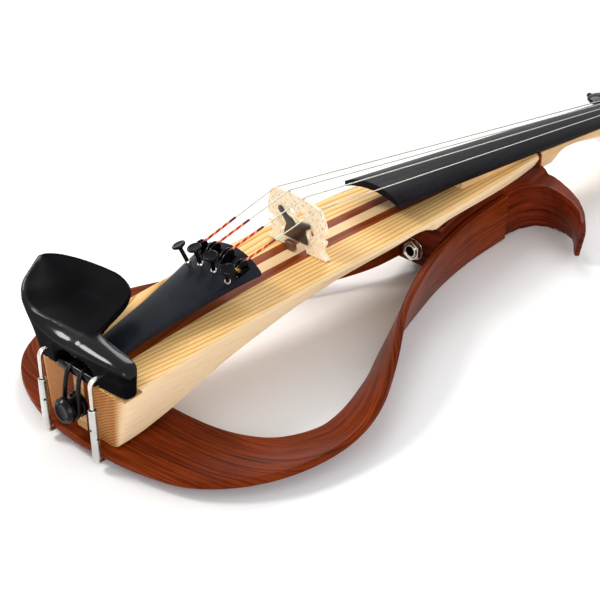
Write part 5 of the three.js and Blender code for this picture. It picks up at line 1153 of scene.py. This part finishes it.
for string, path in STRING_PATHS.items():
    radius = STRING_RADII[string]
    total = sum(math.dist(a, b) for a, b in zip(path, path[1:]))
    points, faces, uvs = sweep(rounded(path, STRING_BEND, 4), radius, 12)
    make_piece(f"string_{string}_wire", points, faces, wound_steel, f"string_{string}", "steel", angle=60,
               uvs=uvs)
    silk_end = SILK_LENGTHS[string]
    peg_start, peg_end = (total - reach for reach in PEG_SILK_REACH)
    for part, start, end, thread in (("tail_wrap", SILK_START, silk_end - SILK_END, red_silk),
                                     ("tail_end", silk_end - SILK_END, silk_end, dark_silk),
                                     ("peg_end", peg_start, peg_end, dark_silk)):
        points, faces, uvs = sweep(along_path(path, start, end), radius + SILK_THICKNESS, 16)
        make_piece(f"string_{string}_silk_{part}", points, faces, thread, None, "steel", angle=60, uvs=uvs)

sleeve_path = along_path(STRING_PATHS["e"], SLEEVE_START, SLEEVE_START + SLEEVE_LENGTH, 18)
points, faces, uvs = sweep(sleeve_path, SLEEVE_RADIUS, 20)
make_piece("string_e_sleeve", points, faces, sleeve_green, None, "steel", angle=60, uvs=uvs)

# Windings: each string's silk-wrapped end is wound round its peg in one helix, with a little
# room between its turns. Geometry Nodes draw it as a curve, with the wire as its section.
WINDING_TURNS = 4
WINDING_GAP = 0.45
# The peg's place along, the winding's middle across, the peg's height, the helix's radius and hand
WINDINGS = {
    "g": (346, 4.2, -28.417, 4.157, 1), "d": (370, 1.6, -31.537, 4.087, 1),
    "a": (382, -1.6, -33.097, 4.057, -1), "e": (358, -3.6, -29.977, 4.067, -1),
}
# Silk thread, matt and dark violet
winding_silk = plain_material("violet_winding_silk", "#3A2A4E", "#2A1E3A", 0.6, grain=1800.0, specular=0.3)


def coil_group(material):
    """Node group: a round wire wound in a helix, with its sizes as named inputs."""
    group = bpy.data.node_groups.new("wire_coil", "GeometryNodeTree")
    for name in ("Turns", "Radius", "Pitch", "Wire", "Hand"):
        group.interface.new_socket(name, in_out="INPUT", socket_type="NodeSocketFloat")
    group.interface.new_socket("Coil", in_out="OUTPUT", socket_type="NodeSocketGeometry")
    sizes = add_node(group, "NodeGroupInput")
    height = add_node(group, "ShaderNodeMath", {0: (sizes, "Turns"), 1: (sizes, "Pitch")},
                      operation="MULTIPLY")
    spiral = add_node(group, "GeometryNodeCurveSpiral", {
        "Resolution": 40, "Rotations": (sizes, "Turns"), "Start Radius": (sizes, "Radius"),
        "End Radius": (sizes, "Radius"), "Height": height,
    })
    hand = add_node(group, "ShaderNodeCombineXYZ", {"X": 1.0, "Y": (sizes, "Hand"), "Z": 1.0})
    turned = add_node(group, "GeometryNodeTransform", {"Geometry": spiral, "Scale": hand})
    section = add_node(group, "GeometryNodeCurvePrimitiveCircle", {
        "Resolution": 12, "Radius": (sizes, "Wire")})
    tube = add_node(group, "GeometryNodeCurveToMesh", {
        "Curve": turned, "Profile Curve": section, "Fill Caps": True})
    real = add_node(group, "GeometryNodeRealizeInstances", {"Geometry": tube})
    finished = add_node(group, "GeometryNodeSetMaterial", {"Geometry": real, "Material": material})
    add_node(group, "NodeGroupOutput", {"Coil": finished})
    return group


def coil_mesh(group, **sizes):
    """The mesh of one coil, as the node group makes it at these sizes."""
    draft = add_object("coil_draft", bpy.data.meshes.new("coil_draft"))
    winding = draft.modifiers.new("coil", "NODES")
    winding.node_group = group
    for socket in group.interface.items_tree:
        if socket.in_out == "INPUT":
            winding[socket.identifier] = float(sizes[socket.name])
    return baked_mesh(draft)


wire_coil = coil_group(winding_silk)
for string, (peg_x, middle_y, peg_z, radius, hand) in WINDINGS.items():
    wire = STRING_RADII[string]
    pitch = 2 * wire + WINDING_GAP
    coil = coil_mesh(wire_coil, Turns=WINDING_TURNS, Radius=radius, Pitch=pitch, Wire=wire, Hand=hand)
    height = WINDING_TURNS * pitch
    for vertex in coil.vertices:
        up, ahead, across = vertex.co
        vertex.co = metres((peg_x + ahead, middle_y + across - height / 2, peg_z + up))
    stand_piece(coil, f"winding_{string}_coil", winding_silk, f"winding_{string}",
                body=f"peg_{string}", angle=60)

# End button: turned ebony, with a groove for the tailgut, a facet round its head and a small
# hollow in its face
END_BUTTON_FOOT = (-136.2, 0, -25.8)
END_BUTTON_PROFILE = (
    (0.05, 0), (3.4, 0), (4, 0.6), (4, 21.9), (6.4, 22.1), (6.8, 22.5), (6.8, 24.4), (6.4, 24.9),
    (4.8, 25.5), (4.4, 27), (4.4, 28.4), (5.2, 29), (6.6, 29.6), (7.1, 30.4), (7.2, 31.4), (7, 32.6),
    (5.9, 34.1), (5.2, 34.3), (4.6, 34), (4, 33.2), (2.4, 32.8), (0.05, 32.7),
)
button = turned_mesh("end_button_turned", END_BUTTON_PROFILE, END_BUTTON_FOOT, (-1, 0, 0), 40)
stand_piece(button, "end_button_turned", polished_ebony, "end_button", angle=28)

# Tailgut: one loop of smooth black nylon cord, from under the tailpiece over the saddle and
# round the end button, in whose groove its lower half circle lies. It shines a little.
GROOVE_X = -163.8
GROOVE_HEIGHT = -25.8
GROOVE_RADIUS = 5.8
GROOVE_STEPS = 16
TAILGUT_HALF = (
    (-147.4, 4.6, -4.9), (-152.5, 4.6, -3.5), (-160.4, 4.7, -5.6), (-162.6, 5.2, -14),
    (GROOVE_X, GROOVE_RADIUS, GROOVE_HEIGHT),
)
TAILGUT_BEND = 3.5
TAILGUT_RADIUS = 1.25
tailgut_nylon = plain_material("black_nylon", "#0C0B0F", "#070609", 0.25, grain=1400.0, specular=0.2)
half_way = rounded(TAILGUT_HALF, TAILGUT_BEND)
groove = []
for step in range(1, GROOVE_STEPS):
    turn = step / GROOVE_STEPS * math.pi
    across, down = GROOVE_RADIUS * math.cos(turn), GROOVE_RADIUS * math.sin(turn)
    groove.append(Vector((GROOVE_X, across, GROOVE_HEIGHT - down)))
loop = [*half_way, *groove, *[Vector((x, -y, z)) for x, y, z in reversed(half_way)]]
points, faces = sweep(loop, TAILGUT_RADIUS, 20)[:2]
make_piece("tailgut_loop", points, faces, tailgut_nylon, "tailgut", "black_plastic")

# Chin rest: ebony carved to a shallow cup with an arm across the tailpiece, then buffed. It
# stands on cork at both sides of an arch, which leaves room for the saddle and tailpiece.
# Each row is a place across, then the tail and front edge, the flank's height, the width and
# rise of the rolled edge above it, the front edge's height, the dish's depth and the underside.
CHIN_REST_ROWS = (
    (-38, -154.5, -151, 4.2, 0.6, 0.5, 5.2, 0, -7.6), (-37.4, -156.6, -149.6, 5.6, 1.1, 0.8, 6.8, 0, -8),
    (-36, -158.2, -148.4, 7.2, 1.8, 1.3, 8.6, -0.3, -8), (-34, -158.9, -147.9, 7.9, 2.4, 1.7, 9.5, -0.5, -8),
    (-27, -159.6, -147.2, 8.3, 3.8, 2.6, 10.4, -0.6, -8), (-17, -160.3, -146.6, 8.1, 5, 3.4, 11.2, -0.6, -8),
    (-8, -160.7, -146, 7.7, 5.9, 4.2, 12.2, -0.4, -8), (-5, -160.8, -144.5, 7.5, 6.2, 4.5, 13.2, 0, -8),
    (-3.4, -160.8, -139, 7.4, 6.4, 4.6, 15.5, 0.6, -8), (-2.4, -160.8, -133, 7.3, 6.4, 4.7, 17.5, 1, -8),
    (-1.2, -160.8, -126.5, 7.3, 6.4, 4.8, 19, 1.4, -8), (1, -160.8, -121, 7.1, 6.4, 4.8, 20.2, 2, -8),
    (5, -160.9, -116.4, 6.8, 6.5, 4.8, 21, 3, -8), (12.9, -161, -112.6, 7, 6.4, 4.6, 21.5, 4.5, -8),
    (22, -161.1, -111, 8.7, 5.5, 3.9, 22, 6.2, -8), (27, -161.3, -111.2, 10.4, 4.3, 3, 22, 6.5, -7),
    (30, -161.4, -111.4, 11.7, 3.5, 2.5, 22, 6.5, 2), (33, -161.4, -111.7, 13.2, 2.7, 2, 22, 6.5, 8.5),
    (38, -160.2, -112.4, 16.6, 1.6, 1.2, 22, 6.2, 14), (41, -159, -112.9, 18.5, 1.3, 1, 22, 6, 15.6),
    (45.2, -156.2, -113.7, 20.2, 1.2, 1, 22, 5.5, 16.6),
    (52.1, -149.7, -115.5, 21.2, 1.1, 0.8, 22, 4.5, 17.3),
    (60.7, -137.7, -118.8, 21.4, 1, 0.7, 22, 2.6, 18), (66, -130.5, -122.6, 21.3, 0.9, 0.6, 21.8, 0.8, 19),
    (68.3, -127, -125.8, 21, 0.5, 0.4, 21.2, 0, 19.8),
)
CHIN_REST_STEP = 1
CHIN_REST_END_STEP = 0.3
CHIN_REST_TREBLE_END = 2.5
CHIN_REST_BASS_END = 2
CHIN_REST_EDGES = (-18.2, -17.9, -4.2, -2.9, -1.8, 15.1, 15.3, 15.5)
CHIN_REST_ARCH = (
    (-18, 0), (-16.8, 0.2), (-13.4, 0.62), (-8.4, 1), (8.4, 1), (12.5, 0.75), (15, 0.42), (15.4, 0),
)
ARCH_TAIL_HEIGHT = 11
ARCH_FRONT_HEIGHT = 17
ARCH_SLOPE = (-160, -150)
FOOT_FRONT = (-147, -139)
CUP_THICKNESS = 4.6
CUP_LEAST_THICKNESS = 2
CUP_STEPS = 14
UNDER_STEPS = 18
FRONT_LIP = ((0.35, 0.35), (0, 1.2), (0.3, 2.4))
LIP_START = 1.2
LIP_END = 1.6
FLANK_LEAN = 1.2
FLANK_STEPS = 4
ROLL_STEPS = 6
ROLL_BEND = (0.25, 0.65)
CHIN_REST_VOXEL = 0.6
# How far along, across and up the buffed part ends: mm from the roll, mm across and mm from
# the flank's height
POLISH_ALONG = (0.5, 4)
POLISH_ACROSS = (-14, -2)
POLISH_HEIGHT = (-1.5, 0.5)


def straight_shares(rows, place):
    """A straight-sided line through rows of (place, value)."""
    for (start, low), (end, high) in zip(rows, rows[1:]):
        if place < end:
            return lerp(low, high, max(place - start, 0) / (end - start))
    return rows[-1][1]


def chin_rest_section(y):
    """The outline of the chin rest at a place across: the dish, the front lip, the underside
    with its foot or arch, the flank and the rolled edge."""
    tail, front, flank, wide, rise, nose, dish, foot = read_rows(CHIN_REST_ROWS, y)
    arch = straight_shares(CHIN_REST_ARCH, y) if CHIN_REST_ARCH[0][0] < y < CHIN_REST_ARCH[-1][0] else 0
    roll_end = Vector((tail + wide, flank + rise))
    run = front - LIP_START - roll_end.x
    section = []
    for step in range(CUP_STEPS + 1):
        share = step / CUP_STEPS
        hollow = dish * 4 * share * (1 - share)
        section.append(Vector((roll_end.x + run * share, lerp(roll_end.y, nose, share) - hollow)))
    section += [Vector((front - back, nose - down)) for back, down in FRONT_LIP]
    for step in range(UNDER_STEPS + 1):
        x = lerp(front - LIP_END, tail + FLANK_LEAN, step / UNDER_STEPS)
        share = (x - roll_end.x) / run
        high = lerp(roll_end.y, nose, share) - dish * 4 * max(share * (1 - share), 0)
        base = foot + body_top(max(x, -TAIL_LENGTH)) - body_top(-TAIL_LENGTH)
        arch_height = lerp(ARCH_TAIL_HEIGHT, ARCH_FRONT_HEIGHT, smoothstep(x, *ARCH_SLOPE))
        base = max(base, foot + arch * arch_height)
        plate = max(high - CUP_THICKNESS, base)
        low = min(lerp(base, plate, smoothstep(x, *FOOT_FRONT)), high - CUP_LEAST_THICKNESS)
        section.append(Vector((x, low)))
    last, edge = section[-1], Vector((tail, flank))
    section += [last.lerp(edge, step / FLANK_STEPS) for step in range(1, FLANK_STEPS + 1)]
    bend = Vector((tail + ROLL_BEND[0] * wide, flank + ROLL_BEND[1] * rise))
    for step in range(1, ROLL_STEPS):
        t = step / ROLL_STEPS
        section.append(edge.lerp(bend, t).lerp(bend.lerp(roll_end, t), t))
    return [(point.x, y, point.y) for point in section]


def make_chin_rest(material):
    """The whole form through its sections, carved, with its polish as an attribute."""
    first, last = CHIN_REST_ROWS[0][0], CHIN_REST_ROWS[-1][0]
    places = [first + CHIN_REST_END_STEP * step for step in range(8)]
    y = first + CHIN_REST_TREBLE_END
    while y < last - CHIN_REST_BASS_END:
        places.append(y)
        y += CHIN_REST_STEP
    places += [last - CHIN_REST_END_STEP * step for step in range(7)]
    rows = [chin_rest_section(y) for y in sorted([*places, *CHIN_REST_EDGES])]
    draft = add_object("chin_rest_draft", make_mesh("chin_rest_draft", *skin(rows)))
    carve(draft, CHIN_REST_VOXEL)
    carved = baked_mesh(draft)
    # Only the rolled edge and the arm are buffed to a gloss, and the cup is left satin
    polish = carved.attributes.new("polish", "FLOAT", "POINT")
    for vertex, value in zip(carved.vertices, polish.data):
        x, y, z = vertex.co * 1000 - BRIDGE_FOOT
        tail, _, flank, wide = read_rows(CHIN_REST_ROWS, y)[:4]
        beyond = smoothstep(x - tail - wide, *POLISH_ALONG) * smoothstep(y, *POLISH_ACROSS)
        value.value = (1 - beyond) * smoothstep(z - flank, *POLISH_HEIGHT)
    return stand_piece(carved, "chin_rest_carved", material, "chin_rest", angle=60)


def buffed_ebony():
    """Black ebony, faintly streaked and pored, whose gloss follows the mesh's polish."""
    material, tree = new_material("buffed_ebony")
    place = add_node(tree, "ShaderNodeTexCoord")
    along = add_node(tree, "ShaderNodeMapping", {"Vector": (place, "Object"), "Scale": (40, 40, 300)})
    grain = add_node(tree, "ShaderNodeTexNoise", {"Vector": along, "Scale": 1.0, "Detail": 4.0})
    colour = add_node(tree, "ShaderNodeValToRGB", {"Fac": grain},
                      ((0, "#030304"), (0.5, "#060608"), (0.75, "#0D0C10"), (1, "#16141A")))
    pores = add_node(tree, "ShaderNodeTexNoise", {"Vector": (place, "Object"), "Scale": 900.0, "Detail": 2.0})
    bump = add_node(tree, "ShaderNodeBump", {"Strength": 0.06, "Distance": 0.0001, "Height": (pores, "Fac")})
    polish = add_node(tree, "ShaderNodeAttribute", attribute_name="polish")
    roughness = add_node(tree, "ShaderNodeMapRange", {"Value": (polish, "Fac"), "To Min": 0.5, "To Max": 0.2})
    gloss = add_node(tree, "ShaderNodeMapRange", {"Value": (polish, "Fac"), "To Min": 0.0, "To Max": 0.4})
    finish_material(tree, colour, roughness, bump=bump, coat=gloss, coat_roughness=0.11, specular=0.02)
    return material


make_chin_rest(buffed_ebony())

# Cork pads: thin slips glued under the chin rest's feet, which keep it off the lacquer. Raw
# cork is matt and coarse, tan with darker patches.
CORK_PLACES = {"chin_rest_cork_bass": (15.8, 26.6), "chin_rest_cork_treble": (-36.4, -20.9)}
CORK_TAIL = -157.9
CORK_FRONT = -146.9
CORK_GAP = 0.3
CORK_HALF = 0.6
CORK_FRONT_THICKNESS = 1.1
CORK_STEPS = 12
CORK_BULGE = 0.2
raw_cork = plain_material("raw_cork", "#B98A5A", "#8D6238", 0.85, grain=1200.0, grain_bump=0.5)
low, high = body_top(CORK_TAIL + CORK_BULGE) + CORK_GAP, body_top(CORK_FRONT) + CORK_GAP
for node, (start, end) in CORK_PLACES.items():
    rows = []
    for step in range(CORK_STEPS + 1):
        y = lerp(start, end, step / CORK_STEPS)
        rows.append([
            (CORK_TAIL, y, low), (CORK_FRONT, y, high), (CORK_FRONT + CORK_BULGE, y, high + CORK_HALF),
            (CORK_FRONT, y, high + CORK_FRONT_THICKNESS), (CORK_TAIL, y, low + 2 * CORK_HALF),
            (CORK_TAIL - CORK_BULGE, y, low + CORK_HALF),
        ])
    make_piece(f"{node}_slip", *skin(rows), raw_cork, node, "cork")

# Clamps: each a nickel tube threaded over a bent stud above and a hooked foot below, with two
# crosswise holes that a pin turns it by. The tube is satin, and the rods are bright.
CLAMP_X = -167
CLAMP_PLACES = {"bass": 18.3, "treble": -21.9}
CLAMP_STUD = ((-152.2, 1.2), (CLAMP_X, 1.2), (CLAMP_X, -21.3))
CLAMP_FOOT = ((CLAMP_X, -38.9), (CLAMP_X, -47.8), (-153, -47.8))
CLAMP_STUD_BEND = 3.9
CLAMP_FOOT_BEND = 2.6
CLAMP_ROD_RADIUS = 1.3
CLAMP_ROD_END = 0.8
BARREL_PROFILE = (
    (1.75, 0.3), (1.75, 0), (2.1, 0), (2.3, 0.25), (2.3, 29.35), (2.1, 29.6), (1.6, 29.6), (1.6, 28.6),
)
BARREL_FOOT = -44.9
BARREL_HOLES = {"bass": ((60, -26.8), (150, -32)), "treble": ((0, -26.8), (90, -32))}
BARREL_HOLE_RADIUS = 0.75
BARREL_HOLE_REACH = 4
satin_nickel = plain_material("satin_nickel", "#D9D8D4", "#C6C5C1", 0.3, metallic=1.0, grain=700.0)
for side, y in CLAMP_PLACES.items():
    for part, bends, bend, body in (("stud", CLAMP_STUD, CLAMP_STUD_BEND, "instrument"),
                                    ("foot", CLAMP_FOOT, CLAMP_FOOT_BEND, f"clamp_foot_{side}")):
        path = rounded([(x, y, z) for x, z in bends], bend)
        ends = (0, len(path) - 1)
        points, faces = sweep(
            path, lambda index: CLAMP_ROD_RADIUS * (CLAMP_ROD_END if index in ends else 1), 24)[:2]
        node = f"clamp_{part}_{side}"
        make_piece(f"{node}_rod", points, faces, bright_metal, node, "nickel", body=body)
    holes = []
    for turn, z in BARREL_HOLES[side]:
        across = Vector((math.cos(math.radians(turn)), math.sin(math.radians(turn)), 0)) * BARREL_HOLE_REACH
        middle = Vector((CLAMP_X, y, z))
        drill = sweep([middle - across, middle + across], BARREL_HOLE_RADIUS, 16)[:2]
        holes.append(make_mesh("clamp_hole", *drill))
    barrel = turned_mesh("clamp_barrel", BARREL_PROFILE, (CLAMP_X, y, BARREL_FOOT), (0, 0, 1), 40)
    node = f"clamp_barrel_{side}"
    stand_piece(cut_mesh(barrel, holes), f"{node}_tube", satin_nickel, node, body=node)

# Output jack: a plated sleeve with its washer and nut, screwed into the block's face, and a
# housing of matt black moulded plastic inside the block
for node in ("jack_sleeve", "jack_washer", "jack_nut"):
    refine(node, bright_metal, bevel=0.2, segments=3)
housing_plastic = plain_material("moulded_housing_plastic", "#1C1C20", "#121216", 0.45)
refine("jack_housing", housing_plastic, bevel=0.5, segments=3)

# Studio: a plain pale floor that takes the object's shadow, white all round, and soft lights
FLOOR_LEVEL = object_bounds()[0][2]
FLOOR_HALF = 2
floor_corners = [(x * FLOOR_HALF, y * FLOOR_HALF, FLOOR_LEVEL)
                 for x, y in ((-1, -1), (1, -1), (1, 1), (-1, 1))]
floor_mesh = bpy.data.meshes.new("floor")
floor_mesh.from_pydata(floor_corners, [], [(0, 1, 2, 3)])
floor = add_object("floor", floor_mesh)
floor_paint, tree = new_material("pale_floor")
finish_material(tree, linear("#F6F6F6"), 0.9)
floor_mesh.materials.append(floor_paint)

LIGHTS = (
    ("key", (-460, 640, 700), 300, 6.2, "#FFFDF8"),
    ("fill", (-480, -950, 330), 800, 6.4, "#F9FBFF"),
    ("back", (600, 450, 600), 500, 4.0, "#FFFFFF"),
)
LIGHTS_AIM = (20, 0, -10)
SKY_STRENGTH = 0.62
for name, place, size, power, colour in LIGHTS:
    light_data = bpy.data.lights.new(name, "AREA")
    light_data.shape = "DISK"
    light_data.size = size / 1000
    light_data.energy = power
    light_data.color = linear(colour)[:3]
    light = add_object(name, light_data)
    light.location = metres(place)
    light.rotation_euler = (metres(LIGHTS_AIM) - light.location).to_track_quat("-Z", "Y").to_euler()

# The sky lights the object at its own strength, and is plain white where it is seen or mirrored
world = bpy.data.worlds.new("studio")
world.use_nodes = True
tree = world.node_tree
tree.nodes.clear()
rays = add_node(tree, "ShaderNodeLightPath")
sky = add_node(tree, "ShaderNodeBackground", {"Color": linear("#FFFFFF"), "Strength": SKY_STRENGTH})
backdrop = add_node(tree, "ShaderNodeBackground", {"Color": linear("#FFFFFF"), "Strength": 1.0})
seen = add_node(tree, "ShaderNodeMath", {0: (rays, "Is Camera Ray"), 1: (rays, "Is Glossy Ray")},
                operation="MAXIMUM")
clear = add_node(tree, "ShaderNodeMath", {0: seen, 1: (rays, "Is Transmission Ray")}, operation="MAXIMUM")
shown = add_node(tree, "ShaderNodeMixShader", {0: clear, 1: sky, 2: backdrop})
add_node(tree, "ShaderNodeOutputWorld", {"Surface": shown})
bpy.context.scene.world = world
